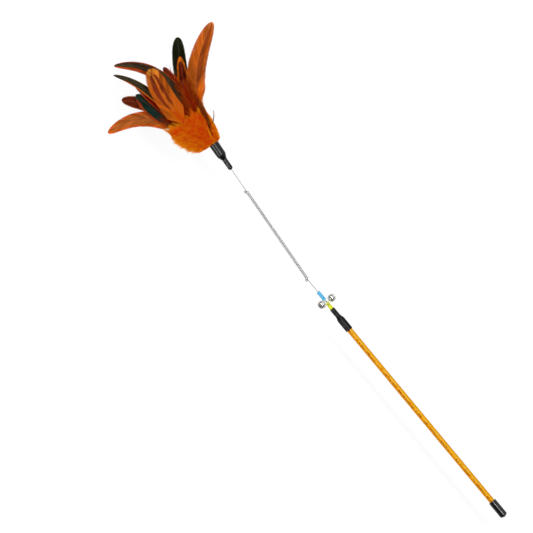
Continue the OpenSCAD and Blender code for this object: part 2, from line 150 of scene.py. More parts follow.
# Barbs: their angle to the quill at the foot and by how much it closes towards the tip, in degrees, and the
# last place on the quill where one can leave it, as a share of the feather
BARB_SPACING = 0.42 * MM
BARB_POINTS = 10
BARB_ANGLE = 44
BARB_CLOSING = 20
LAST_ROOT = 0.985
OUTLINE_POINTS = 4000
CLUMP_LIFT = 0.3 * MM
# Barbs from one slow change of shade to the next
SHADE_RUN = 30
SHINGLE = 0.05 * MM
FEATHER_SEED = 700

# Each feather: 1 for the inner ring, its place in the ring, its yaw at the cap and its turn to the side
# along its length in degrees, how late that turn comes, its climb and its droop in degrees, its length and
# width as shares, how blunt its tip is, its look, and how loose its barbs are
Feather = namedtuple("Feather", "ring place yaw turn late climb droop length width blunt look loose")
FEATHERS = [
    Feather(0, 8, 20, 26, 1.5, 0, 0, 0.74, 0.68, 7, "mauve", 0.1),
    Feather(0, 7, 1, -33, 1, 1, 0, 0.82, 0.72, 8, "moss", 0.04),
    Feather(0, 9, 28, 62, 1.7, 3, 2, 0.81, 0.82, 3, "apricot", 0.1),
    Feather(0, 6, -2, -16, 1, 5, 1, 0.58, 0.66, 3, "russet", 0.4),
    Feather(1, 3, 29, -16, 2, 4.5, 2, 0.66, 0.95, 3, "teal", 0.2),
    Feather(1, 2, 2, -30, 1, 9, 2, 0.68, 0.6, 4, "striped", 0.1),
    Feather(0, 0, 19.5, -6, 1, 9, 3, 0.73, 0.6, 4, "garnet", 0.2),
    Feather(0, 5, 0, -42, 1, 13, 4, 0.68, 0.62, 3, "umber", 0.45),
    Feather(1, 0, 17, 24, 4, 12, 5, 0.88, 0.5, 2, "olive", 0.05),
    Feather(1, 1, -1, 0, 1, 13.5, 5, 0.66, 0.68, 3, "umber", 0.5),
    Feather(0, 1, -3, 62, 2, 18.5, 8, 0.98, 0.68, 3, "sable", 0.06),
    Feather(0, 4, -5.5, -54, 0.95, 16.5, 8, 0.92, 0.94, 4, "amber", 0.08),
    Feather(0, 2, 27, -36, 0.8, 26, 8, 0.75, 1.04, 7, "twin", 0.06),
    Feather(0, 3, -3, -8, 1, 22, 6, 0.53, 0.6, 3, "ember", 0.5),
]

# Dyes
PEACH = (0.5, 0.13, 0.03)
APRICOT = (0.33, 0.085, 0.013)
TAN = (0.64, 0.24, 0.026)
ORANGE = (0.52, 0.115, 0.004)
COPPER = (0.42, 0.085, 0.005)
AMBER = (0.46, 0.075, 0.003)
SIENNA = (0.3, 0.05, 0.008)
BROWN = (0.26, 0.046, 0.006)
RUST = (0.36, 0.042, 0.002)
CRIMSON = (0.15, 0.003, 0.001)
GARNET = (0.07, 0.002, 0.001)
EMBER = (0.34, 0.03, 0.003)
MAROON = (0.09, 0.008, 0.002)
UMBER = (0.1, 0.012, 0.003)
MULBERRY = (0.11, 0.013, 0.003)
CHESTNUT = (0.18, 0.024, 0.005)
BARK = (0.044, 0.027, 0.011)
OLIVE = (0.033, 0.027, 0.011)
PINE = (0.009, 0.01, 0.002)
TEAL = (0.005, 0.022, 0.015)

# Each look: colours of the edge, middle, tip and quill, how wide the middle is on the left and on the right
# as a share of the vane, where it starts and ends along the feather, whether it is a pair of stripes beside
# the quill, the fluff at its foot, and a slot name, read only to give feather_dark looks a satin gloss
Look = namedtuple("Look", "edge middle tip quill left right start end twin fluff slot")
LOOKS = {
    "mauve": Look(SIENNA, MULBERRY, MULBERRY, SIENNA, 0.9, 0.9, 0.0, 1.3, 0, "ruddy", "feather_brown"),
    "moss": Look(OLIVE, PINE, PINE, PINE, 0.9, 0.95, 0.1, 1.3, 0, "ruddy", "feather_dark"),
    "apricot": Look(AMBER, APRICOT, AMBER, RUST, 0.7, 0.7, 0.3, 1.0, 0, "bright", "feather_orange"),
    "russet": Look(AMBER, MAROON, AMBER, RUST, 0.8, 0.8, 0.1, 1.0, 0, "ruddy", "feather_brown"),
    "teal": Look(RUST, TEAL, TEAL, GARNET, 0.84, 0.97, 0.1, 1.3, 0, "ruddy", "feather_dark"),
    "striped": Look(ORANGE, MAROON, ORANGE, RUST, 0.74, 0.74, 0.45, 0.98, 0, "ruddy", "feather_orange"),
    "garnet": Look(RUST, CRIMSON, MAROON, GARNET, 0.88, 0.86, 0.1, 1.3, 0, "ruddy", "feather_brown"),
    "umber": Look(AMBER, UMBER, UMBER, RUST, 0.84, 0.84, 0.2, 1.2, 0, "ruddy", "feather_brown"),
    "olive": Look(ORANGE, OLIVE, OLIVE, BARK, 0.74, 1.0, 0.1, 1.3, 0, "ruddy", "feather_dark"),
    "sable": Look(RUST, BARK, RUST, BARK, 0.5, 0.9, 0.1, 1.08, 0, "ruddy", "feather_dark"),
    "amber": Look(COPPER, BROWN, PEACH, ORANGE, 0.0, 0.66, 0.4, 1.08, 0, "bright", "feather_orange"),
    "twin": Look(COPPER, CHESTNUT, TAN, ORANGE, 0.68, 0.6, 0.3, 0.98, 1, "bright", "feather_orange"),
    "ember": Look(RUST, EMBER, UMBER, UMBER, 0.85, 0.85, 0.1, 0.84, 0, "ruddy", "feather_orange"),
}

# Fluff: colours at the root and at the tip of a strand
FLUFFS = {
    "bright": ((0.84, 0.085, 0.001), (1.0, 0.52, 0.01)),
    "ruddy": ((0.42, 0.014, 0.001), (0.58, 0.08, 0.002)),
    "dusky": ((0.24, 0.042, 0.005), (0.42, 0.12, 0.02)),
    "golden": ((0.4, 0.04, 0.002), (0.62, 0.2, 0.02)),
    "maroon": ((0.1, 0.006, 0.002), (0.14, 0.012, 0.003)),
}

# One even colour for the core, which the strands hide
CORE_ORANGE = (0.85, 0.1, 0.002)

# Strands of each kind: how many, half widths, lengths and starts past the cap's mouth in mm, least and most
COUNTS = {"foot": 700, "stray": 240, "rim": 3600, "cover": 7000, "strip": 900, "gap": 170, "hackle": 3000,
          "wisp": 260}
HALF_WIDTHS = {"foot": (0.1, 0.18), "loose": (0.1, 0.22), "tuft": (0.08, 0.16), "rim": (0.06, 0.11),
               "cover": (0.09, 0.18), "strip": (0.1, 0.18), "hackle": (0.1, 0.24), "wisp": (0.12, 0.26)}
LENGTHS = {"cover": (9, 17), "strip": (7, 13), "hackle": (20, 40), "wisp": (12, 24)}
STARTS = {"hackle": (8, 54), "wisp": (17, 38)}
TUFTS, TUFT_STRANDS = 560, 28
FRINGE_TUFTS, FRINGE_STRANDS = 90, 56
STRAND_LIFT = 0.2 * MM
# Loose barbs over the topmost feather: fluff, how many, where they start and how wide they lie, as shares
LOOSE_LAYERS = (("ruddy", 700, 0.2, 1.5), ("golden", 620, 0.25, 1.6), ("maroon", 360, 0.45, 1.7))
# One long loose barb on the right: root, bend and tip in mm past the cap's mouth, to the left and up, and
# how far apart the strands that it is made of lie
LONG_BARB = ((20, -12, 5), (28.5, -22.5, 8), (34, -22.5, 6))
LONG_BARB_ROWS = (0.0, 0.2, 0.4, 0.6)
LONG_BARB_HALF = 0.45 * MM
# Heights of the hackle barbs and the wisps at the cap's mouth, and the place on the right that wisps leave
HACKLE_Z = 3.2 * MM
WISP_X, WISP_Y, WISP_Z = 15 * MM, -6.5 * MM, 6 * MM

# Down round the quills. It bulges to its sides by shares of the cap's radius, and the hole for the quills
# widens by shares of the distance past the cap
DOWN_SEED = 41
DOWN_L = 38 * MM
DOWN_GAP = 0.3 * MM
DOWN_LEFT, DOWN_TOP, DOWN_RIGHT = 3.3, 1.3, 1.1
HOLE_LEFT, HOLE_TOP, HOLE_RIGHT = 0.66, 0.26, 0.2
HOLE_GAP = 0.3 * MM
HOLE_R = BUNDLE_R + QUILL_R + HOLE_GAP
DOWN_RIM = 0.15
DOWN_OPEN = 0.4
DOWN_PEAK = 0.315
# Core under the strands: its share of the down's length, and how far its inside lies below the hole
CORE_SHARE = 0.92
CORE_SINK = 0.25
CORE_ROWS, CORE_COLUMNS = 24, 64
# Fan of long strands over the top: its sides in degrees, how far from the cap's mouth they start, how
# steeply they climb, how far from the mouth they stay brighter, and how many streaks there are
COVER_SIDES = (-14, 66)
COVER_RUN = 26 * MM
COVER_RISE = 0.26
COVER_PALE = 18 * MM
STREAKS = 70
# Bright strip over the down from the cap's mouth, and a painted shadow on its right, a band of deep shade:
# the strip's middle starts a little to the right and moves further right by a share of the distance
STRIP_Y = -1.2 * MM
STRIP_SLOPE = 0.165
STRIP_HALF = 1.4 * MM
STRIP_L = 48 * MM
STRIP_TOP = 12.3 * MM
STRIP_MOUTH = HEAD_R * 0.8
SHADOW_GAP_START = 5 * MM
SHADOW_GAP_W = 2.0 * MM

# Plastics, metals, beads and glue
BUTT_BLACK = (0.003, 0.002, 0.003)
SLEEVE_BLACK = (0.003, 0.003, 0.004)
CAP_BLACK, CAP_RUBBED = (0.002, 0.002, 0.003), (0.005, 0.005, 0.006)
NICKEL, NICKEL_RUBBED = (0.98, 0.97, 0.91), (0.84, 0.83, 0.77)
WIRE_GREY = (0.36, 0.37, 0.4)
SPRING_GREY = (0.56, 0.57, 0.55)
LEMON, LEMON_SHADOW = (0.82, 0.84, 0.0), (0.62, 0.66, 0.0)
SKY_BLUE, SKY_BLUE_SHADOW = (0.16, 0.68, 1.0), (0.015, 0.22, 0.48)
# ROD_SHADED is painted shade on the rod's +Y side
ROD_DEEP, ROD_PALE, ROD_SHADED = (0.82, 0.32, 0.0), (0.88, 0.4, 0.0), (0.78, 0.24, 0.0)
DARK_FLAKE, GOLD_FLAKE = (0.34, 0.055, 0.0), (0.86, 0.56, 0.05)
FINE_PALE, FINE_DARK = (0.95, 0.6, 0.05), (0.45, 0.09, 0.0)
GLUE, GLUE_CLOUD = (0.7, 0.6, 0.4), (0.85, 0.78, 0.62)

YELLOW_BEADS = ["yellow_bead_1", "yellow_bead_2"]
BLUE_BEADS = [f"blue_bead_{i}" for i in range(1, 5)]


def smooth(u):
    """Smooth step from 0 to 1: 3 u^2 - 2 u^3 of u held between 0 and 1."""
    v = np.clip(u, 0, 1)
    return v * v * (3 - 2 * v)


def unit(v):
    """Vectors scaled to length 1."""
    return v / np.linalg.norm(v, axis=-1, keepdims=True)


# Mesh helpers

def make_piece(name, parts, body, replaced=()):
    """One mesh object from (points, faces, material, uv, shade) parts. Each point has a uv and a shade."""
    points = np.concatenate([p[0] for p in parts])
    offsets = np.cumsum([0] + [len(p[0]) for p in parts])
    faces = [p[1] + offset for p, offset in zip(parts, offsets)]
    counts = np.concatenate([np.full(len(f), f.shape[1]) for f in faces])
    corners = np.concatenate([f.ravel() for f in faces])
    mesh = bpy.data.meshes.new(name)
    mesh.vertices.add(len(points))
    mesh.vertices.foreach_set("co", points.astype(np.float32).ravel())
    mesh.loops.add(len(corners))
    mesh.loops.foreach_set("vertex_index", corners.astype(np.int32))
    mesh.polygons.add(len(counts))
    starts = np.concatenate([[0], np.cumsum(counts)[:-1]])
    mesh.polygons.foreach_set("loop_start", starts.astype(np.int32))
    mesh.polygons.foreach_set("loop_total", counts.astype(np.int32))
    mesh.polygons.foreach_set("use_smooth", np.ones(len(counts), bool))
    materials = []
    for part in parts:
        if part[2].name not in [m.name for m in materials]:
            materials.append(part[2])
    for material in materials:
        mesh.materials.append(material)
    index = np.concatenate([np.full(len(f), materials.index(p[2])) for f, p in zip(faces, parts)])
    mesh.polygons.foreach_set("material_index", index.astype(np.int32))
    uv = np.concatenate([p[3] for p in parts])
    layer = mesh.uv_layers.new(name="UVMap")
    layer.data.foreach_set("uv", uv[corners].astype(np.float32).ravel())
    shade = mesh.attributes.new("shade", "FLOAT", "POINT")
    shade.data.foreach_set("value", np.concatenate([p[4] for p in parts]).astype(np.float32))
    mesh.update(calc_edges=True)
    mesh.validate()
    piece = bpy.data.objects.new(name, mesh)
    bpy.context.scene.collection.objects.link(piece)
    if isinstance(body, str):
        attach(piece, body)
    else:
        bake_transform(piece)
    if replaced:
        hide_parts(*replaced)


def tube_parts(middles, outward, side, radius, sides, material):
    """Round tube with a cone half a radius high on each end: ring point = middle + radius *
    (cos b * outward + sin b * side).

    middles, outward and side are (n, 3) arrays, radius a number or an (n,) array. The walls come with all
    the points, and the cones index them."""
    n = len(middles)
    radius = np.broadcast_to(radius, (n,))
    b = np.arange(sides) * 2 * math.pi / sides
    rings = (middles[:, None] + radius[:, None, None]
             * (np.cos(b)[None, :, None] * outward[:, None] + np.sin(b)[None, :, None] * side[:, None]))
    first = middles[0] - 0.5 * radius[0] * unit(middles[1] - middles[0])
    last = middles[-1] + 0.5 * radius[-1] * unit(middles[-1] - middles[-2])
    points = np.concatenate([rings.reshape(-1, 3), [first, last]])
    i, k = np.meshgrid(np.arange(n - 1), np.arange(sides), indexing="ij")
    a, d = i * sides + k, i * sides + (k + 1) % sides
    walls = np.stack([a, d, d + sides, a + sides], -1).reshape(-1, 4)
    k = np.arange(sides)
    end = (n - 1) * sides
    following = (k + 1) % sides
    cones = np.concatenate([
        np.stack([following, k, np.full(sides, n * sides)], -1),
        np.stack([end + k, end + following, np.full(sides, n * sides + 1)], -1)])
    u = np.concatenate([np.repeat(np.arange(n) / (n - 1), sides), [0, 1]])
    v = np.concatenate([np.tile(np.arange(sides) / sides, n), [0, 0]])
    return [(points, walls, material, np.stack([u, v], -1), np.full(len(points), 0.5)),
            (np.empty((0, 3)), cones - len(points), material, np.empty((0, 2)), np.empty(0))]


# Spring and wires

def spring_rings(t):
    """Middle, outward and side vectors of the spring's wire after t turns: a left-hand helix
    x = r + pitch * t + opening, angle = 90 - 360 t, whose first and last turns are opened."""
    a = math.pi / 2 - 2 * math.pi * t
    x = WIRE_R + SPRING_PITCH * t + SPRING_OPEN * (np.minimum(1, t) + np.maximum(0, t - SPRING_TURNS + 1))
    out = np.stack([np.zeros_like(a), np.cos(a), np.sin(a)], -1)
    middle = np.stack([x, SPRING_MEAN_R * np.cos(a), SPRING_MEAN_R * np.sin(a)], -1)
    along = unit(np.gradient(middle, axis=0))
    return middle, out, unit(np.cross(along, out))


def turn_lure(vectors):
    """Directions of the lure's own frame in the wand's frame."""
    return on_lure(vectors) - LURE_START


def spring_piece(name, t0, t1, body, steel, replaced=()):
    """A stretch of the spring from t0 to t1 turns, as a tube along its helix."""
    t = np.linspace(t0, t1, int((t1 - t0) * RINGS_PER_TURN) + 1)
    middle, out, side = spring_rings(t)
    parts = tube_parts(on_lure(middle), turn_lure(out), turn_lure(side), WIRE_R, SPRING_SIDES, steel)
    make_piece(name, parts, body, replaced)


def lure_wire_piece(steel):
    """Wire from its eye in the spring's last turn to its end in the glue: an open ring, then straight."""
    link_x = WIRE_R + LINK_TURN * (SPRING_PITCH + SPRING_OPEN)
    eye_x = (link_x + (SPRING_PITCH + SPRING_OPEN * (1 - LINK_TURN)) / 2
             - math.sqrt(EYE_R ** 2 - (SPRING_MEAN_R - EYE_R) ** 2))
    a = np.radians(np.linspace(EYE_WRAP, 0, EYE_RINGS))
    ring = np.stack([SPRING_END - eye_x - EYE_R * np.sin(a), EYE_R * (1 - np.cos(a)), 0 * a], -1)
    x = np.linspace(SPRING_END - eye_x, PLUG_END - 2 * PLUG_HALF, BARE_RINGS)[1:]
    straight = np.stack([x, 0 * x, 0 * x], -1)
    middle = np.concatenate([ring, straight])
    along = unit(np.gradient(middle, axis=0))
    up = np.tile([0.0, 0, 1], (len(middle), 1))
    side = unit(np.cross(along, up))
    parts = tube_parts(on_lure(middle), turn_lure(up), turn_lure(side), WIRE_R, WIRE_SIDES, steel)
    start = on_lure([SPRING_END, 0, 0])
    end = on_lure([HEAD_TIP, 0, 0])
    make_piece("lure_wire_bent", parts, ("lure_wire", "head", start, end), ["lure_wire"])


def hang_lure(spring_metal, steel):
    """The lure wire, and the spring in two stretches: one from the rod wire's end to the split turn, and one
    from there to the lure wire."""
    split = on_lure([WIRE_R + SPRING_OPEN + SPRING_PITCH * SPLIT_TURN, 0, 0])
    last = on_lure([SPRING_END, 0, 0])
    bending = ("handle", "spring", LURE_START, split)
    opening = ("spring", "lure_wire", split, last)
    spring_piece("spring_lower", 0, SPLIT_TURN, bending, spring_metal, ["spring"])
    spring_piece("spring_upper", SPLIT_TURN, SPRING_TURNS, opening, spring_metal)
    lure_wire_piece(steel)


# Feathers

def heading(f, s):
    """Yaw and climb of a quill in radians at distances s past the cap's mouth."""
    share = np.maximum(0, s) / (f.length * FEATHER_L)
    yaw = f.yaw * smooth(s / SPLAY_RUN) + f.turn * smooth(share ** f.late)
    climb = f.climb * smooth(s / LIFT_RUN) - f.droop * share ** 2
    return np.radians(yaw), np.radians(climb)


def quill_line(f):
    """Distances along a quill, its points, and its left and up vectors: the sum of small steps along the
    heading (cos climb cos yaw, cos climb sin yaw, sin climb), to a tenth past the feather's tip."""
    places = INNER_PLACES if f.ring else OUTER_PLACES
    angle = 2 * math.pi * (f.place + 0.5 * f.ring) / places
    radius = BUNDLE_R * (INNER_RING if f.ring else 1)
    s = np.linspace(PLUG_END - HEAD_MOUTH + QUILL_SEAT, f.length * FEATHER_L * 1.1, QUILL_STEPS)
    yaw, climb = heading(f, s)
    ahead = np.stack([np.cos(climb) * np.cos(yaw), np.cos(climb) * np.sin(yaw), np.sin(climb)], -1)
    steps = (ahead[1:] + ahead[:-1]) / 2 * np.diff(s)[:, None]
    start = [HEAD_MOUTH + s[0], radius * math.cos(angle), radius * math.sin(angle)]
    line = np.concatenate([[start], start + np.cumsum(steps, 0)])
    left = np.stack([-np.sin(yaw), np.cos(yaw), 0 * yaw], -1)
    return s, line, left, np.cross(ahead, left)


def sample(s, table, at):
    """Rows of a table over s at other distances."""
    return np.stack([np.interp(at, s, table[:, k]) for k in range(3)], -1)


def on_vane(f, line, s, w, h):
    """Place of a vane point: quill point + w * left + (h - camber * w^2 / half width) * up."""
    at, points, left, up = line
    full = f.width * FEATHER_W / 2
    rise = h - CAMBER * w * w / full
    return (sample(at, points, s) + w[..., None] * sample(at, left, s)
            + rise[..., None] * sample(at, up, s))


def half_width(f, s):
    """Half the vane's width: a narrow foot, then a swell, closed at the tip as sqrt(1 - v^blunt)."""
    v = np.clip((s - VANE_START) / (f.length * FEATHER_L - VANE_START), 0, 1)
    swell = f.width * FEATHER_W / 2 * smooth(v / VANE_RISE)
    foot = FOOT_W * smooth((s - FOOT_START) / FOOT_RUN)
    return np.maximum(swell, foot) * np.sqrt(1 - v ** f.blunt)


def clumps(count, rng):
    """Barbs hold together in clumps of 6 to 22: each barb's place in its clump, from -1 to 1, and the
    number of its clump."""
    sizes = rng.integers(6, 23, count)
    owner = np.repeat(np.arange(count), sizes)[:count]
    first = np.searchsorted(owner, owner, "left")
    last = np.searchsorted(owner, owner, "right") - 1
    place = 2 * (np.arange(count) - first) / np.maximum(1, last - first) - 1
    return place, owner


def barb_ends(f):
    """The barbs of one side: distance and half width where each meets the vane's outline, and where it
    leaves the quill, distance - half width / tan(angle). They are spaced evenly along the mean of the two
    lines' lengths."""
    free = f.length * FEATHER_L
    v = 1 - (1 - np.linspace(0, 1, OUTLINE_POINTS)) ** 2
    tip_s = FOOT_START + (free - FOOT_START) * v
    tip_w = half_width(f, tip_s)
    angle = np.radians(BARB_ANGLE - BARB_CLOSING * smooth((tip_s - VANE_START) / (free - VANE_START)))
    root = tip_s - tip_w / np.tan(angle)
    steps = np.hypot(np.diff(tip_s), np.diff(tip_w)) + np.abs(np.diff(root))
    path = np.concatenate([[0], np.cumsum(steps)]) / 2
    at = np.linspace(0, path[-1], int(path[-1] / BARB_SPACING))
    tip_s, tip_w, root = (np.interp(at, path, column) for column in (tip_s, tip_w, root))
    return tip_s, tip_w, np.minimum(root, free * LAST_ROOT)


def vane_part(f, side, material, line, rng):
    """One side of a vane as barbs that lie side by side, each from its root on the quill to its tip on the
    outline: w = W * t^0.9 and s = root + (tip - root) * t^1.25. Each is a ribbon from halfway to the barb
    before it to halfway to the next, tilted like a shingle."""
    free = f.length * FEATHER_L
    tip_s, tip_w, root = barb_ends(f)
    count = len(root)
    place, owner = clumps(count, rng)
    pinch = f.loose * rng.uniform(0.1, 1, count)[owner]
    pinch = pinch * (1 - smooth((tip_s / free - 0.88) / 0.1))
    run = np.bincount(owner, minlength=count)[owner] * BARB_SPACING
    reach = 1.02 + rng.normal(0, 0.008, count) + rng.normal(0, 0.03, count)[owner] * (f.loose + 0.1)
    lift = rng.normal(0, CLUMP_LIFT, count)[owner] * (0.2 + f.loose)
    t = np.linspace(0, 1, BARB_POINTS)
    s = root[:, None] + (tip_s - root)[:, None] * reach[:, None] * t ** 1.25
    s = s - (place * pinch * run * 0.6)[:, None] * t ** 3
    w = (tip_w * reach)[:, None] * t ** 0.9
    h = lift[:, None] * t ** 2
    step_s, step_w = np.gradient(s, axis=0) / 2, np.gradient(w, axis=0) / 2
    body = 1.15 - 0.6 * smooth((t - 0.9) / 0.1) - 0.2 * f.loose * smooth((t - 0.3) / 0.5)
    edges = []
    for sign in (-1, 1):
        edge_w = np.maximum(w + sign * step_w * body, 0)
        edges.append(on_vane(f, line, s + sign * step_s * body, side * edge_w, h + sign * SHINGLE))
    points = on_lure(np.stack(edges, 2).reshape(-1, 3))
    i, k = np.meshgrid(np.arange(count), np.arange(BARB_POINTS - 1), indexing="ij")
    a = (i * BARB_POINTS + k) * 2
    order = [a, a + 1, a + 3, a + 2] if side > 0 else [a, a + 2, a + 3, a + 1]
    faces = np.stack(order, -1).reshape(-1, 4)
    u = np.clip((0.5 * s + 0.5 * root[:, None]) / free, 0, 1)
    across = np.broadcast_to((0.5 + 0.5 * side * t)[None, :, None], (count, BARB_POINTS, 2))
    uv = np.stack([np.repeat(u[..., None], 2, -1), across], -1)
    knots = np.arange(0, count + SHADE_RUN, SHADE_RUN)
    swell = np.interp(np.arange(count), knots, rng.normal(0, 0.16, count // SHADE_RUN + 2))
    shade = 0.5 + rng.normal(0, 0.15, count) + rng.normal(0, 0.18, count)[owner] + swell
    return points, faces, material, uv.reshape(-1, 2), np.repeat(np.clip(shade, 0, 1), BARB_POINTS * 2)


def scatter(size, count, rng):
    """Small random offsets in all directions, of a size in mm."""
    return rng.normal(0, size * MM, (count, 3))


def drawn(ranges, kind, count, rng):
    """Sizes of one kind of strand, drawn evenly between its least and its most."""
    return rng.uniform(*ranges[kind], count) * MM


def strand_part(roots, bends, tips, half, material, shade, points=5):
    """Fine strands, each a flat ribbon along root (1-t)^2 + bend 2t(1-t) + tip t^2 that narrows to its tip.
    None hangs lower than the CAD's lowest point."""
    t = np.linspace(0, 1, points)[None, :, None]
    middle = roots[:, None] * (1 - t) ** 2 + bends[:, None] * 2 * t * (1 - t) + tips[:, None] * t ** 2
    middle[..., 2] = np.maximum(middle[..., 2], cad_box[0][2] + STRAND_LIFT)
    along = unit(np.gradient(middle, axis=1))
    flat = unit(np.cross(along, np.array([0.13, 0.21, 1.0])))
    spread = half[:, None, None] * (1 - 0.9 * t ** 1.5)
    pairs = np.stack([middle - flat * spread, middle + flat * spread], 2)
    i, k = np.meshgrid(np.arange(len(roots)), np.arange(points - 1), indexing="ij")
    a = (i * points + k) * 2
    faces = np.stack([a, a + 2, a + 3, a + 1], -1).reshape(-1, 4)
    u = np.broadcast_to(t[..., 0], (len(roots), points))
    uv = np.stack([np.repeat(u.reshape(-1), 2), np.full(len(roots) * points * 2, 0.5)], -1)
    return on_lure(pairs.reshape(-1, 3)), faces, material, uv, np.repeat(shade, points * 2)


def foot_part(line, material, rng):
    """Loose downy barbs on the quill's foot: strands that leave it at 10 to 45 degrees, to both sides."""
    at, points, left, up = line
    count = COUNTS["foot"]
    s = rng.uniform(FLUFF_START, FLUFF_END, count)
    side = rng.choice([-1, 1], count)
    tilt = rng.normal(0, 0.3, count)
    reach = FLUFF_L * rng.uniform(0.5, 1, count)
    angle = np.radians(rng.uniform(10, 45, count))
    root = sample(at, points, s)
    aside, upward = sample(at, left, s), sample(at, up, s)
    ahead = np.cross(aside, upward)
    out = side[:, None] * (np.cos(tilt)[:, None] * aside) + np.sin(tilt)[:, None] * upward
    bend = root + (reach * 0.5)[:, None] * (np.cos(angle)[:, None] * ahead + np.sin(angle)[:, None] * out)
    tip = root + reach[:, None] * (ahead * 0.9 + out * (0.1 + 0.4 * np.sin(angle))[:, None])
    tip = tip + scatter(0.8, count, rng)
    half = drawn(HALF_WIDTHS, "foot", count, rng)
    return strand_part(root, bend, tip, half, material, rng.uniform(0.1, 0.9, count))


def loose_part(f, line, count, low, wide, material, rng):
    """Loose barbs that lie on a vane from a share of its length on: each leaves the quill, rises a little
    and ends within a share of the vane's half width."""
    free = f.length * FEATHER_L
    s = rng.uniform(low, 0.85, count) * free
    side = rng.choice([-1, 1], count)
    reach = rng.uniform(0.08, 0.2, count) * free
    across = rng.uniform(0.2, 1.0, count) * wide * f.width * FEATHER_W / 2
    rise = rng.uniform(0.3, 1.6, count) * MM
    root = on_vane(f, line, s, 0 * s, 0.4 * MM + 0 * s)
    bend = on_vane(f, line, s + 0.5 * reach, side * across * 0.6, rise)
    tip = on_vane(f, line, np.minimum(s + reach, free), side * across, rise)
    half = drawn(HALF_WIDTHS, "loose", count, rng)
    return strand_part(root, bend, tip, half, material, rng.uniform(0, 1, count))


def feather_piece(number, f, vane, quill, fluff):
    """Quill with its two sides of barbs, and the downy barbs at its foot."""
    rng = np.random.default_rng(FEATHER_SEED + number)
    line = quill_line(f)
    at, points, left, up = line
    free = f.length * FEATHER_L
    s = np.concatenate([np.linspace(at[0], 0, 6)[:-1], np.linspace(0, free * 0.98, 60)])
    radius = QUILL_R * (1 - (1 - QUILL_TIP) * np.maximum(0, s) / free)
    radius = radius * np.where(s > free * 0.9, 1 - 0.7 * (s - free * 0.9) / (free * 0.1), 1)
    lefts, ups = turn_lure(sample(at, left, s)), turn_lure(sample(at, up, s))
    parts = tube_parts(on_lure(sample(at, points, s)), lefts, ups, radius, QUILL_SIDES, quill)
    parts += [vane_part(f, side, vane, line, rng) for side in (1, -1)]
    parts.append(foot_part(line, fluff, rng))
    if f.loose > 0.3:
        parts.append(loose_part(f, line, COUNTS["stray"], 0.3, 1.05, fluff, rng))
    node = f"feather_{number:02d}"
    make_piece(node + "_vane", parts, "head", [node])


# Down

def by_side(a, left, top, right):
    """Spread by direction: left at 0, top at 90 degrees, right at 180."""
    c = np.cos(a)
    return np.where(c > 0, left, right) * c * c + top * np.sin(a) ** 2


def down_place(s, a, reach):
    """Point of the down at a distance s past the cap's mouth and an angle a: reach 0 is the hole round the
    quills, and 1 the outside of its bulge, the root of a sine that peaks at a share of the length."""
    share = np.clip(s / DOWN_L, 0, 1)
    top = np.where(np.sin(a) > 0, HOLE_TOP, 0)
    spread = s * by_side(a, HOLE_LEFT, top, HOLE_RIGHT) * smooth(DOWN_OPEN + (1 - DOWN_OPEN) * share)
    peaked = share ** (math.log(0.5) / math.log(DOWN_PEAK))
    bulge = np.sqrt(np.maximum(0, np.sin(math.pi * peaked)))
    swell = HEAD_R * by_side(a, DOWN_LEFT, DOWN_TOP, DOWN_RIGHT) * (DOWN_RIM + (1 - DOWN_RIM) * bulge)
    r = HOLE_R + spread + reach * swell
    return np.stack([HEAD_MOUTH + DOWN_GAP + s, r * np.cos(a), np.maximum(-HEAD_R, r * np.sin(a))], -1)


def down_core(material):
    """Soft body under the strands: the down's own bulge, drawn in and rippled, with both ends closed."""
    rows, columns = CORE_ROWS, CORE_COLUMNS
    i, k = np.meshgrid(np.arange(rows + 1), np.arange(columns), indexing="ij")
    share, a = i / rows, 2 * math.pi * k / columns
    ripple = 0.6 + 0.06 * np.sin(9 * a + 5 * share) + 0.05 * np.sin(17 * a - 9 * share)
    draw = np.sqrt(np.maximum(0, 1 - share ** 6))
    outside = down_place(DOWN_L * CORE_SHARE * share, a, ripple * draw - CORE_SINK * (1 - draw))
    inside = down_place(DOWN_L * CORE_SHARE * share, a, -CORE_SINK + 0 * share)[::-1]
    points = on_lure(np.concatenate([outside, inside]).reshape(-1, 3))
    total = 2 * (rows + 1)
    i, k = np.meshgrid(np.arange(total), np.arange(columns), indexing="ij")
    here, ahead = i * columns, (i + 1) % total * columns
    beside = (k + 1) % columns
    faces = np.stack([here + k, ahead + k, ahead + beside, here + beside], -1).reshape(-1, 4)
    return points, faces, material, np.zeros((len(points), 2)), np.full(len(points), 0.3)


def strip_shade(points, shade):
    """Shade with the strip made bright, and deep shade in the gap on its right as a painted shadow, where
    strands end on top.
    """
    s = points[:, 0] - HEAD_MOUTH
    aside = points[:, 1] - (STRIP_Y - STRIP_SLOPE * s)
    top = points[:, 2] > 0
    strip = top & (np.abs(aside) < STRIP_HALF)
    # Painted shadow: tips in the band right of the strip get deep shade
    gap = top & (aside < -STRIP_HALF) & (aside > -STRIP_HALF - SHADOW_GAP_W) & (s > SHADOW_GAP_START)
    return np.where(strip, 0.0, np.where(gap, 1.0, shade))


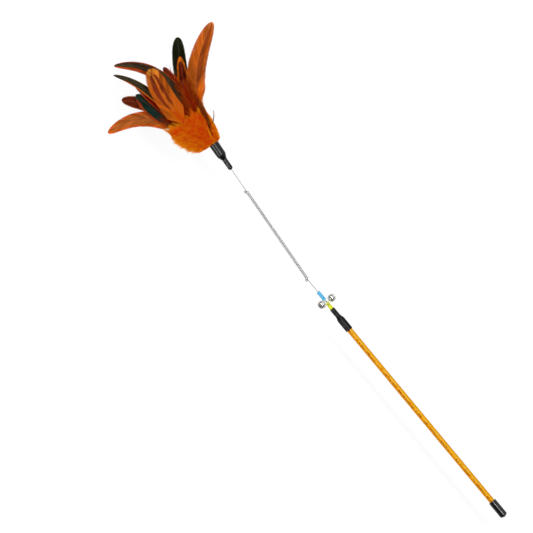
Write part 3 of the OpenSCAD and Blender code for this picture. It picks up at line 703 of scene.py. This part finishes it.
def tuft_part(material, tufts, per_tuft, rng, fringe=False):
    """Strands in tufts. A tuft's roots lie together in the down and its strands draw together to one point
    at the bulge: straight out near the cap's mouth, and more and more forward away from it. A fringe stands
    out past the bulge on the left and right only."""
    count = tufts * per_tuft
    owner = np.repeat(np.arange(tufts), per_tuft)
    s0 = rng.uniform(0.02, 0.98, tufts)
    a0 = rng.uniform(0, 2 * math.pi, tufts)
    r0 = rng.uniform(0.2, 0.6, tufts)
    s1 = s0 + rng.normal(0.0, 0.06, tufts) + 0.35 * (s0 - 0.15)
    r1 = rng.uniform(0.78, 1.15, tufts)
    if fringe:
        a0 = rng.normal(0.1, 0.25, tufts) + math.pi * (rng.random(tufts) < 0.3)
        r0, r1 = r0 + 0.25, rng.uniform(0.98, 1.2, tufts)
    a1 = a0 + rng.normal(0, 0.05, tufts)
    loose = rng.uniform(0, 1, count) ** 2 * (0.5 if fringe else 1.0)
    roots = down_place(np.maximum(0, s0[owner] + rng.normal(0, 0.05, count)) * DOWN_L,
                       a0[owner] + rng.normal(0, 0.12, count), r0[owner] + rng.normal(0, 0.06, count))
    short = 1 - 0.35 * rng.uniform(0, 1, count) ** 2
    tips = down_place(np.maximum(0, s1[owner] + rng.normal(0, 0.04, count) * loose) * DOWN_L,
                      a1[owner] + rng.normal(0, 0.1, count) * loose, (r1[owner] + 0.1 * loose) * short)
    tips = tips + scatter(0.3, count, rng)
    bends = (roots + tips) / 2 + scatter(0.5, tufts, rng)[owner] + scatter(0.3, count, rng)
    deep = 0.5 * np.maximum(0, np.sin(a0)) ** 2 * smooth(2.5 * s0)
    shade = np.clip((deep + rng.normal(0.15, 0.1, tufts))[owner] + rng.uniform(0, 0.2, count), 0, 1)
    # Bright strip, and painted shadow in the band on its right
    shade = strip_shade(tips, shade)
    return strand_part(roots, bends, tips, drawn(HALF_WIDTHS, "tuft", count, rng), material, shade)


def rim_part(material, rng):
    """Single fine hairs that stand a little out of the tufts on both sides, so the down's edge is soft."""
    count = COUNTS["rim"]
    s = rng.uniform(0.0, 1.0, count)
    a = rng.normal(0.1, 0.5, count) + math.pi * (rng.random(count) < 0.35)
    roots = down_place(s * DOWN_L, a, rng.uniform(0.6, 0.9, count))
    tips = down_place(np.maximum(0, s + rng.normal(0, 0.07, count) + 0.35 * (s - 0.15)) * DOWN_L,
                      a + rng.normal(0, 0.14, count), rng.uniform(0.95, 1.22, count))
    bends = (roots + tips) / 2 + scatter(0.8, count, rng)
    half = drawn(HALF_WIDTHS, "rim", count, rng)
    return strand_part(roots, bends, tips, half, material, 0.2 * rng.random(count))


def cover_part(material, rng):
    """Long strands over the top from the cap's mouth: they fan out, arch a little and are shorter at the
    fan's left end. Deep and bright streaks follow each other round it, and all are brighter near the cap."""
    count = COUNTS["cover"]
    yaw = np.radians(rng.uniform(*COVER_SIDES, count))
    short = 1 - 0.36 * smooth((yaw - 0.6) / 0.55)
    start = COVER_RUN * rng.uniform(0, 1, count) ** 0.7 * short
    length = drawn(LENGTHS, "cover", count, rng) * short
    ahead = np.stack([np.cos(yaw), np.sin(yaw), 0 * yaw], -1)
    mouth = np.stack([HEAD_MOUTH + 0 * yaw, BUNDLE_R * yaw, BUNDLE_R * 0.9 + start * COVER_RISE], -1)
    near = start[:, None] * ahead + mouth
    near = near + scatter(0.4, count, rng)
    rise = rng.uniform(0.02, 0.3, count) * np.cos(yaw)
    bend = near + (length * 0.5)[:, None] * ahead + (length * rise)[:, None] * [0, 0, 1]
    tip = near + length[:, None] * ahead + (length * (rise - 0.1))[:, None] * [0, 0, 1]
    tip = tip + scatter(0.6, count, rng)
    streaks = rng.uniform(0.2, 0.8, STREAKS)
    shade = np.interp(yaw, np.linspace(yaw.min(), yaw.max(), STREAKS), streaks)
    shade = shade * (0.2 + 0.8 * smooth(start / COVER_PALE)) * short ** 2
    # Bright strip, and painted shadow in the band on its right
    shade = strip_shade(bend, np.clip(shade + rng.uniform(-0.15, 0.15, count), 0, 1))
    return strand_part(near, bend, tip, drawn(HALF_WIDTHS, "cover", count, rng), material, shade)


def strip_part(material, count, aside, half, shade, rng):
    """Strands that lie along the bright strip, or beside it, where dark ones paint its shadow: from the
    cap's mouth over the top of the down to the feathers' feet. Their height is z = mouth + (top - mouth) *
    smooth(0.15 + 2.6 share)."""
    s = rng.uniform(0, 1, count) ** 0.9 * STRIP_L
    w = aside + rng.normal(0, half * 0.5, count)

    def at(s, lift):
        share = np.clip(s / STRIP_L, 0, 1)
        z = STRIP_MOUTH + (STRIP_TOP - STRIP_MOUTH) * smooth(0.15 + 2.6 * share) + lift
        return np.stack([HEAD_MOUTH + s, STRIP_Y - STRIP_SLOPE * s + w * (0.45 + share), z], -1)

    reach = drawn(LENGTHS, "strip", count, rng)
    roots = at(s, -0.3 * MM)
    bends = at(s + reach / 2, rng.uniform(0, 0.5, count) * MM)
    tips = at(s + reach, 0.0) + scatter(0.25, count, rng)
    thin = drawn(HALF_WIDTHS, "strip", count, rng)
    shades = np.clip(shade + rng.normal(0, 0.12, count), 0, 1)
    return strand_part(roots, bends, tips, thin, material, shades)


def hackle_part(material, rng):
    """Long narrow barbs that lie ahead among the feathers' feet and rise with them."""
    count = COUNTS["hackle"]
    yaw = np.radians(rng.uniform(-9, 15, count))
    start = drawn(STARTS, "hackle", count, rng)
    length = drawn(LENGTHS, "hackle", count, rng)
    near = np.stack([HEAD_MOUTH + start, start * np.tan(yaw), HACKLE_Z + 0.14 * start], -1)
    near = near + scatter(1.4, count, rng) * [1, 1, 0.7]
    lean = yaw + rng.normal(0, 0.1, count)
    ahead = np.stack([np.cos(lean), np.sin(lean), 0.2 + 0 * yaw], -1)
    bend = near + (length * 0.5)[:, None] * ahead + scatter(1.0, count, rng)
    tip = near + length[:, None] * (ahead - [0, 0, 0.06]) + scatter(1.2, count, rng)
    half = drawn(HALF_WIDTHS, "hackle", count, rng)
    return strand_part(near, bend, tip, half, material, rng.uniform(0, 1, count))


def wisp_part(material, rng):
    """Brown wisps that stand out on the right. The first few make up one long loose barb beside them."""
    count = COUNTS["wisp"]
    start = drawn(STARTS, "wisp", count, rng)
    length = drawn(LENGTHS, "wisp", count, rng)
    near = np.stack([HEAD_MOUTH + start, WISP_Y - 0.2 * (start - WISP_X), WISP_Z + 0.2 * start], -1)
    near = near + scatter(1.3, count, rng)
    yaw = np.radians(rng.normal(-13, 4, count))
    ahead = np.stack([np.cos(yaw), np.sin(yaw), 0.05 + 0 * yaw], -1)
    bend = near + (length * 0.5)[:, None] * ahead + scatter(0.7, count, rng)
    tip = near + length[:, None] * ahead + scatter(0.6, count, rng)
    half = drawn(HALF_WIDTHS, "wisp", count, rng)
    for row, shift in enumerate(LONG_BARB_ROWS):
        for ends, (x, y, z) in zip((near, bend, tip), LONG_BARB):
            ends[row] = HEAD_MOUTH + x * MM, (y + shift) * MM, z * MM
        half[row] = LONG_BARB_HALF
    return strand_part(near, bend, tip, half, material, rng.uniform(0, 1, count), points=8)


def down_pieces(core, fluffs):
    """The down's core with its tufts, then its fine rim and cover, and the loose barbs that lie over it."""
    rng = np.random.default_rng(DOWN_SEED)
    bright = fluffs["bright"]
    tufts = tuft_part(bright, TUFTS, TUFT_STRANDS, rng)
    make_piece("down_fluff", [down_core(core), tufts], "head", ["down"])
    rim = [rim_part(bright, rng), tuft_part(bright, FRINGE_TUFTS, FRINGE_STRANDS, rng, fringe=True)]
    make_piece("down_rim", rim, "head")
    strip = strip_part(bright, COUNTS["strip"], 0.0, STRIP_HALF, 0.05, rng)
    # Dark maroon strands right of the strip paint the shadow that falls there
    gap_y = -STRIP_HALF - 0.7 * SHADOW_GAP_W
    gap = strip_part(fluffs["maroon"], COUNTS["gap"], gap_y, 0.5 * SHADOW_GAP_W, 0.5, rng)
    make_piece("down_cover", [cover_part(bright, rng), strip, gap], "head")
    top = FEATHERS[-1]
    line = quill_line(top)
    loose = [loose_part(top, line, count, low, wide, fluffs[name], rng)
             for name, count, low, wide in LOOSE_LAYERS]
    loose += [hackle_part(fluffs["ruddy"], rng), wisp_part(fluffs["dusky"], rng)]
    make_piece("hackle_barbs", loose, "head")


# Materials

class Finish:
    """A new Principled material with short calls for its nodes."""

    def __init__(self, name, **settings):
        self.material = bpy.data.materials.new(name)
        self.material.use_nodes = True
        self.tree = self.material.node_tree
        self.shader = self.tree.nodes["Principled BSDF"]
        for key, value in settings.items():
            self.shader.inputs[key.replace("_", " ")].default_value = value

    def node(self, kind, settings=None, **sockets):
        """A node with its settings and sockets; a socket takes a value or another node's output."""
        node = self.tree.nodes.new(kind)
        for key, value in (settings or {}).items():
            setattr(node, key, value)
        for key, value in sockets.items():
            self.put(node.inputs[key.replace("_", " ")], value)
        return node

    def put(self, socket, value):
        """Links an output to a socket, or sets its value."""
        if isinstance(value, bpy.types.NodeSocket):
            self.tree.links.new(value, socket)
        else:
            socket.default_value = value

    def math(self, operation, a, b=0.0, c=0.0):
        """A Math node's result."""
        node = self.tree.nodes.new("ShaderNodeMath")
        node.operation = operation
        for socket, value in zip(node.inputs, (a, b, c)):
            self.put(socket, value)
        return node.outputs[0]

    def ease(self, value, low, high, start=0.0, end=1.0):
        """Smooth step of a value from low to high."""
        node = self.node("ShaderNodeMapRange", {"interpolation_type": "SMOOTHSTEP"},
                         Value=value, To_Min=start, To_Max=end)
        self.put(node.inputs["From Min"], low)
        self.put(node.inputs["From Max"], high)
        return node.outputs["Result"]

    def mix(self, factor, a, b, blend="MIX"):
        """Colours a and b mixed."""
        node = self.tree.nodes.new("ShaderNodeMix")
        node.data_type = "RGBA"
        node.blend_type = blend
        self.put(node.inputs[0], factor)
        for socket, value in ((node.inputs[6], a), (node.inputs[7], b)):
            self.put(socket, (*value, 1) if isinstance(value, tuple) and len(value) == 3 else value)
        return node.outputs[2]

    def coordinates(self, kind="Object"):
        """A coordinate output, Object or UV."""
        return self.node("ShaderNodeTexCoord").outputs[kind]

    def noise(self, scale, detail=3.0, vector=None, stretch=None):
        """Noise, on Object coordinates unless a vector is given."""
        vector = vector or self.coordinates()
        if stretch:
            mapping = self.node("ShaderNodeMapping", Vector=vector, Scale=stretch)
            vector = mapping.outputs[0]
        return self.node("ShaderNodeTexNoise", Vector=vector, Scale=scale, Detail=detail).outputs["Fac"]

    def bump(self, height, strength, distance):
        """Bump from a height, linked to the shader."""
        node = self.node("ShaderNodeBump", Height=height, Strength=strength, Distance=distance)
        self.put(self.shader.inputs["Normal"], node.outputs[0])

    def seen(self):
        """1 for what the camera sees directly or through glass, 0.4 in reflections, otherwise 0."""
        rays = self.node("ShaderNodeLightPath").outputs
        clear = self.math("ADD", rays["Is Camera Ray"], rays["Is Transmission Ray"])
        seen = self.math("MULTIPLY_ADD", rays["Is Glossy Ray"], 0.4, clear)
        return self.math("MINIMUM", seen, 1.0)

    def colour(self, value):
        """Base colour from an output."""
        self.put(self.shader.inputs["Base Color"], value)

    def rough(self, value, low, high):
        """Roughness between low and high by a value from 0 to 1."""
        self.put(self.shader.inputs["Roughness"], self.ease(value, 0.2, 0.8, low, high))


def soft_black(name, base, gloss, roughness, grain):
    """Black vinyl or rubber with fine moulding grain and faint scuffs."""
    finish = Finish(name, Specular_IOR_Level=gloss)
    scuff = finish.noise(220, 4)
    finish.colour(finish.mix(finish.ease(scuff, 0.5, 0.75), base, tuple(c * 1.8 for c in base)))
    finish.rough(scuff, roughness - 0.03, roughness + 0.05)
    finish.bump(finish.noise(1600, 2), grain, 0.05 * MM)
    return finish.material


def wire_steel(name, base, roughness):
    """Drawn steel: fine marks along the wire and slight greying."""
    finish = Finish(name, Metallic=1.0)
    marks = finish.noise(1200, 3, stretch=(0.06, 1.0, 1.0))
    finish.colour(finish.mix(marks, tuple(c * 0.75 for c in base), base))
    finish.rough(marks, roughness - 0.06, roughness + 0.1)
    finish.bump(marks, 0.15, 0.02 * MM)
    return finish.material


def bell_nickel():
    """Bright nickel plate with slight waviness of the pressed sheet and fine rub marks."""
    finish = Finish("bell_nickel", Metallic=0.88)
    wave = finish.noise(260, 2)
    rub = finish.noise(2600, 4)
    finish.colour(finish.mix(finish.ease(rub, 0.45, 0.8), NICKEL, NICKEL_RUBBED))
    finish.rough(rub, 0.12, 0.18)
    finish.bump(wave, 0.25, 0.15 * MM)
    return finish.material


def bead_plastic(name, base, shadow, beads):
    """Opaque bead: soft gloss, slight mottling, and painted shade, a darker colour where a bead curves in to
    the next. The first two beads of a row give the distance from one end to the next."""
    finish = Finish(name, Specular_IOR_Level=0.3)
    mottle = finish.noise(500, 3)
    low, high = sorted(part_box(bead)[0][0] for bead in beads[:2])
    pitch = high - low
    along = finish.node("ShaderNodeSeparateXYZ", Vector=finish.coordinates()).outputs["X"]
    from_end = finish.math("PINGPONG", finish.math("SUBTRACT", along, low), pitch / 2)
    # Painted shade in the grooves: the shadow colour near each bead's ends, its own colour on the crown
    crown = finish.ease(from_end, 0.02 * pitch, 0.24 * pitch)
    tone = finish.mix(finish.math("MULTIPLY_ADD", mottle, 0.4, 0.6), shadow, base)
    finish.colour(finish.mix(crown, shadow, tone))
    finish.rough(mottle, 0.26, 0.38)
    finish.shader.inputs["Subsurface Weight"].default_value = 0.15
    finish.shader.inputs["Subsurface Scale"].default_value = 1 * MM
    finish.bump(finish.noise(900, 2), 0.08, 0.05 * MM)
    return finish.material


def glitter_rod():
    """Clear amber plastic with glitter cast in it. Flakes are Voronoi cells: they crowd in three mottled
    lines along the rod, some golden and some dark, and lie thin between them. The +Y side is painted darker,
    as painted shade."""
    finish = Finish("rod_glitter", Specular_IOR_Level=0.06)
    place = finish.coordinates()
    axes = finish.node("ShaderNodeSeparateXYZ", Vector=place)
    angle = finish.math("ARCTAN2", axes.outputs["Y"], axes.outputs["Z"])

    def line_at(turn, width):
        wave = finish.math("COSINE", finish.math("MULTIPLY", finish.math("SUBTRACT", angle, turn), 3.0))
        return finish.ease(wave, 1 - width, 1.0)

    def flakes(scale, stretch):
        cells = finish.node("ShaderNodeMapping", Vector=place, Scale=(stretch, 1.0, 1.0)).outputs[0]
        picked = finish.node("ShaderNodeTexVoronoi", Vector=cells, Scale=scale).outputs["Color"]
        return finish.node("ShaderNodeSeparateXYZ", Vector=picked).outputs

    fine, coarse = flakes(1500.0, 0.7), flakes(680.0, 0.8)
    depth = finish.noise(50, 3, stretch=(0.2, 1.0, 1.0))
    body = finish.mix(depth, ROD_DEEP, ROD_PALE)
    # Painted shade: the body darker towards the rod's +Y side, away from the key light
    body = finish.mix(finish.ease(finish.math("SINE", angle), -0.3, 0.8, 0.0, 0.5), body, ROD_SHADED)
    dark = finish.math("MULTIPLY", line_at(0.26, 0.6), finish.ease(coarse["X"], 0.3, 0.55))
    body = finish.mix(dark, body, DARK_FLAKE)
    gold = finish.math("MULTIPLY", line_at(-0.16, 0.6), finish.ease(coarse["Y"], 0.3, 0.6))
    body = finish.mix(finish.math("MULTIPLY", gold, 0.7), body, GOLD_FLAKE)
    body = finish.mix(finish.ease(fine["Y"], 0.8, 0.9, 0.0, 0.3), body, FINE_PALE)
    body = finish.mix(finish.ease(fine["Z"], 0.8, 0.9, 0.0, 0.25), body, FINE_DARK)
    finish.colour(body)
    finish.rough(fine["X"], 0.2, 0.34)
    finish.bump(fine["Z"], 0.2, 0.02 * MM)
    return finish.material


def head_plastic():
    """Glossy black moulded plastic with a few soft handling marks."""
    finish = Finish("head_plastic", Specular_IOR_Level=0.6)
    marks = finish.noise(180, 4)
    finish.colour(finish.mix(marks, CAP_BLACK, CAP_RUBBED))
    finish.rough(marks, 0.07, 0.11)
    finish.bump(finish.noise(320, 2), 0.02, 0.1 * MM)
    return finish.material


def set_glue():
    """Clouded set glue."""
    finish = Finish("glue", Roughness=0.5)
    finish.colour(finish.mix(finish.noise(400, 3), GLUE, GLUE_CLOUD))
    finish.bump(finish.noise(700, 2), 0.2, 0.1 * MM)
    return finish.material


def quill_finish(name, base):
    """Horny quill, slightly glossy, with a grain of darker and paler marks drawn out along it."""
    finish = Finish("quill_" + name, Specular_IOR_Level=0.35)
    grain = finish.noise(900, 2, stretch=(0.1, 1.0, 1.0))
    dark, pale = tuple(c * 0.8 for c in base), tuple(min(1, c * 1.25) for c in base)
    finish.colour(finish.mix(grain, dark, pale))
    finish.rough(grain, 0.35, 0.5)
    return finish.material


def vane_finish(name, look):
    """Barbs of one look: an edge colour, a middle colour out to a limit on each side, a tip colour, and
    each barb and clump a little lighter or darker than the next. Across is 0 at the quill, 1 at the edge."""
    satin = look.slot == "feather_dark"
    finish = Finish("vane_" + name, Specular_IOR_Level=0.1 if satin else 0.06)
    uv = finish.node("ShaderNodeSeparateXYZ", Vector=finish.coordinates("UV"))
    u, v = uv.outputs["X"], uv.outputs["Y"]
    across = finish.math("ABSOLUTE", finish.math("MULTIPLY", finish.math("SUBTRACT", v, 0.5), 2.0))
    shade = finish.node("ShaderNodeAttribute", {"attribute_name": "shade"}).outputs["Fac"]
    wander = finish.noise(14, 3, vector=finish.coordinates("UV"), stretch=(1.0, 0.12, 1.0))
    wobble = finish.math("MULTIPLY", finish.math("SUBTRACT", finish.math("ADD", wander, shade), 1.0), 0.2)
    is_left = finish.math("GREATER_THAN", v, 0.5)
    limit = finish.math("ADD", finish.math("MULTIPLY", is_left, look.left - look.right), look.right)
    fade = 0.5 if look.twin else 0.16
    length = finish.math("MULTIPLY", finish.ease(u, look.start, look.start + fade),
                         finish.ease(u, look.end - 0.08, look.end, 1.0, 0.0))
    limit = finish.math("ADD", finish.math("MULTIPLY", limit, length), wobble)
    middle = finish.ease(across, finish.math("SUBTRACT", limit, 0.14), limit, 1.0, 0.0)
    if look.twin:
        middle = finish.math("MULTIPLY", middle, finish.ease(across, 0.1, 0.2))
    border = finish.mix(finish.ease(finish.math("ADD", u, wobble), 0.84, 0.98), look.edge, look.tip)
    tone = finish.mix(middle, border, look.middle)
    if look.fluff == "ruddy":
        tone = finish.mix(finish.ease(u, 0.24, 0.42, 0.8, 0.0), tone, FLUFFS[look.fluff][0])
    finish.colour(finish.mix(1.0, tone, finish.ease(shade, 0.0, 1.0, 0.75, 1.75), "MULTIPLY"))
    finish.rough(shade, *((0.36, 0.5) if satin else (0.5, 0.65)))
    finish.bump(finish.noise(900, 2), 0.2, 0.05 * MM)
    return finish.material


def fluff_finish(name, deep, tip):
    """Dyed down: deep colour at the roots and lighter towards the tips, with half of the light passing on
    through, as it does in down."""
    finish = Finish(name, Roughness=0.8, Specular_IOR_Level=0.05)
    uv = finish.node("ShaderNodeSeparateXYZ", Vector=finish.coordinates("UV"))
    shade = finish.node("ShaderNodeAttribute", {"attribute_name": "shade"}).outputs["Fac"]
    tone = finish.mix(finish.ease(uv.outputs["X"], 0.1, 0.9), deep, tip)
    tone = finish.mix(finish.math("MULTIPLY", shade, 0.9), tone, deep)
    finish.colour(tone)
    translucent = finish.node("ShaderNodeBsdfTranslucent", Color=tone)
    blend = finish.node("ShaderNodeMixShader", Fac=0.5)
    finish.put(blend.inputs[1], finish.shader.outputs[0])
    finish.put(blend.inputs[2], translucent.outputs[0])
    finish.put(finish.tree.nodes["Material Output"].inputs[0], blend.outputs[0])
    return finish.material


def dress(nodes, material):
    """Puts a material on CAD nodes."""
    for node in nodes:
        mesh = NODES[node].data
        mesh.materials.clear()
        mesh.materials.append(material)


def dress_wand(steel):
    """Finishes of the CAD nodes that keep their shape."""
    dress(["butt_cap"], soft_black("butt_rubber", BUTT_BLACK, 1.0, 0.15, 0.015))
    dress(["front_sleeve"], soft_black("sleeve_vinyl", SLEEVE_BLACK, 0.3, 0.22, 0.05))
    dress(["rod"], glitter_rod())
    dress(["rod_wire"], steel)
    dress(YELLOW_BEADS, bead_plastic("yellow_bead", LEMON, LEMON_SHADOW, YELLOW_BEADS))
    dress(BLUE_BEADS, bead_plastic("blue_bead", SKY_BLUE, SKY_BLUE_SHADOW, BLUE_BEADS))
    nickel = bell_nickel()
    for hand in ("left", "right"):
        dress([f"bell_{hand}_top", f"bell_{hand}_bottom", f"bell_{hand}_loop"], nickel)
        dress([f"bell_{hand}_ball"], steel)
    dress(["head_cap"], head_plastic())
    dress(["glue_plug"], set_glue())


def dress_head():
    """The down and the feathers, each with the finishes of its dyes."""
    fluffs = {name: fluff_finish("fluff_" + name, *colours) for name, colours in FLUFFS.items()}
    down_pieces(fluff_finish("down_core", CORE_ORANGE, CORE_ORANGE), fluffs)
    vanes = {name: vane_finish(name, look) for name, look in LOOKS.items()}
    quills = {name: quill_finish(name, look.quill) for name, look in LOOKS.items()}
    for number, feather in enumerate(FEATHERS, 1):
        fluff = fluffs[LOOKS[feather.look].fluff]
        feather_piece(number, feather, vanes[feather.look], quills[feather.look], fluff)


# Stage

PHOTO_PX = 533
MM_PER_PX = 1.2
# Rod's butt end in the photo, and the steps of +X and +Y there, in pixels to the right and down
BUTT_PX = np.array([503.2, 514.65])
X_PX = np.array([-0.6394, -0.7689])
Y_PX = np.array([-0.7689, 0.6394])
LENS = 300.0
SENSOR = 36.0
FARTHEST_SEEN = 50
# The floor lies so far below the wand that the head can nod down above it
FLOOR_DROP = 110 * MM
FLOOR_REACH = 6.0
# Strength of the floor's own light to the camera and as light on the wand, and the grey that it scatters
FLOOR_GLOW = 0.8
FLOOR_LIGHT = 0.25
FLOOR_TONE = 0.25
# Strength of the world as light, and in reflections on the right and on the left
SKY_TINT = (0.96, 0.98, 1.0, 1)
SKY_LIGHT = 0.42
SKY_RIGHT = 0.16
SKY_LEFT = 0.05
# Softboxes: place, the point that each faces, length and width, and power
SOFTBOXES = {
    "right_box": ((0.52, -1.25, 0.9), (0.5, 0.0, 0.0), (1.9, 1.2), 3),
    "top_strip": ((0.5, -0.3, 1.5), (0.5, 0.0, 0.0), (1.9, 0.12), 14),
    "left_box": ((0.55, 1.2, 1.0), (0.55, 0.0, 0.0), (0.75, 0.12), 6),
}


def place_camera():
    """Looks straight down on the middle of the photo's frame, with a long lens."""
    offset = (PHOTO_PX / 2 - BUTT_PX) * MM_PER_PX * MM
    width = PHOTO_PX * MM_PER_PX * MM
    camera = bpy.data.cameras.new("camera")
    camera.lens = LENS
    camera.sensor_width = SENSOR
    camera.clip_end = FARTHEST_SEEN
    holder = bpy.data.objects.new("camera", camera)
    holder.location = (offset @ X_PX, offset @ Y_PX, width * LENS / SENSOR)
    # Image right is the direction whose photo step is +x
    holder.rotation_euler = (0, 0, math.atan2(Y_PX[0], X_PX[0]))
    bpy.context.scene.collection.objects.link(holder)
    bpy.context.scene.camera = holder


def white_floor():
    """Pale floor below the wand. It keeps the soft shadow, and its own light is strong to the camera,
    weaker in reflections and weakest as light on the wand."""
    z = cad_box[0][2] - FLOOR_DROP
    mesh = bpy.data.meshes.new("floor")
    corners = [(x * FLOOR_REACH, y * FLOOR_REACH, z) for x, y in ((-1, -1), (1, -1), (1, 1), (-1, 1))]
    mesh.from_pydata(corners, [], [(0, 1, 2, 3)])
    floor = bpy.data.objects.new("floor", mesh)
    bpy.context.scene.collection.objects.link(floor)
    finish = Finish("floor")
    nodes = finish.tree.nodes
    nodes.remove(finish.shader)
    glow = finish.node("ShaderNodeEmission", Color=(1, 1, 1, 1),
                       Strength=finish.ease(finish.seen(), 0.0, 1.0, FLOOR_LIGHT, FLOOR_GLOW))
    matt = finish.node("ShaderNodeBsdfDiffuse", Color=(FLOOR_TONE, FLOOR_TONE, FLOOR_TONE, 1))
    both = finish.node("ShaderNodeAddShader")
    finish.put(both.inputs[0], glow.outputs[0])
    finish.put(both.inputs[1], matt.outputs[0])
    finish.put(nodes["Material Output"].inputs[0], both.outputs[0])
    mesh.materials.append(finish.material)


def softbox(name, location, target, size, power):
    """A rectangular area light that faces a point."""
    light = bpy.data.lights.new(name, "AREA")
    light.shape = "RECTANGLE"
    light.size, light.size_y = size
    light.energy = power
    holder = bpy.data.objects.new(name, light)
    holder.location = location
    direction = np.array(target) - np.array(location)
    flat = math.hypot(direction[0], direction[1])
    turn = math.atan2(direction[1], direction[0]) - math.pi / 2
    holder.rotation_euler = (math.atan2(flat, -direction[2]), 0, turn)
    bpy.context.scene.collection.objects.link(holder)


class Sky(Finish):
    """The world's nodes, with the same short calls."""

    def __init__(self):
        world = bpy.data.worlds.new("studio")
        world.use_nodes = True
        self.tree = world.node_tree
        bpy.context.scene.world = world


def light_stage():
    """A large weak softbox low on the right, a long strip overhead, a short one on the left, and an even
    world, which is white to the camera and in reflections dim on the right and darker on the left."""
    for name, settings in SOFTBOXES.items():
        softbox(name, *settings)
    sky = Sky()
    direction = sky.node("ShaderNodeSeparateXYZ", Vector=sky.coordinates("Generated"))
    side = sky.ease(direction.outputs["Y"], -0.5, 0.05, SKY_RIGHT, SKY_LEFT)
    glossy = sky.node("ShaderNodeLightPath").outputs["Is Glossy Ray"]
    direct = sky.node("ShaderNodeLightPath").outputs["Is Camera Ray"]
    change = sky.math("MULTIPLY", glossy, sky.math("SUBTRACT", side, SKY_LIGHT))
    shown = sky.math("ADD", change, SKY_LIGHT)
    strength = sky.math("ADD", shown, sky.math("MULTIPLY", direct, 1 - SKY_LIGHT))
    background = sky.tree.nodes["Background"]
    sky.put(background.inputs["Strength"], strength)
    background.inputs["Color"].default_value = SKY_TINT
    bpy.context.scene.view_settings.view_transform = "Standard"


# Assembly

place_camera()
steel = wire_steel("wire_steel", WIRE_GREY, 0.44)
spring_metal = wire_steel("spring_steel", SPRING_GREY, 0.34)
dress_wand(steel)
hang_lure(spring_metal, steel)
dress_head()
white_floor()
light_stage()
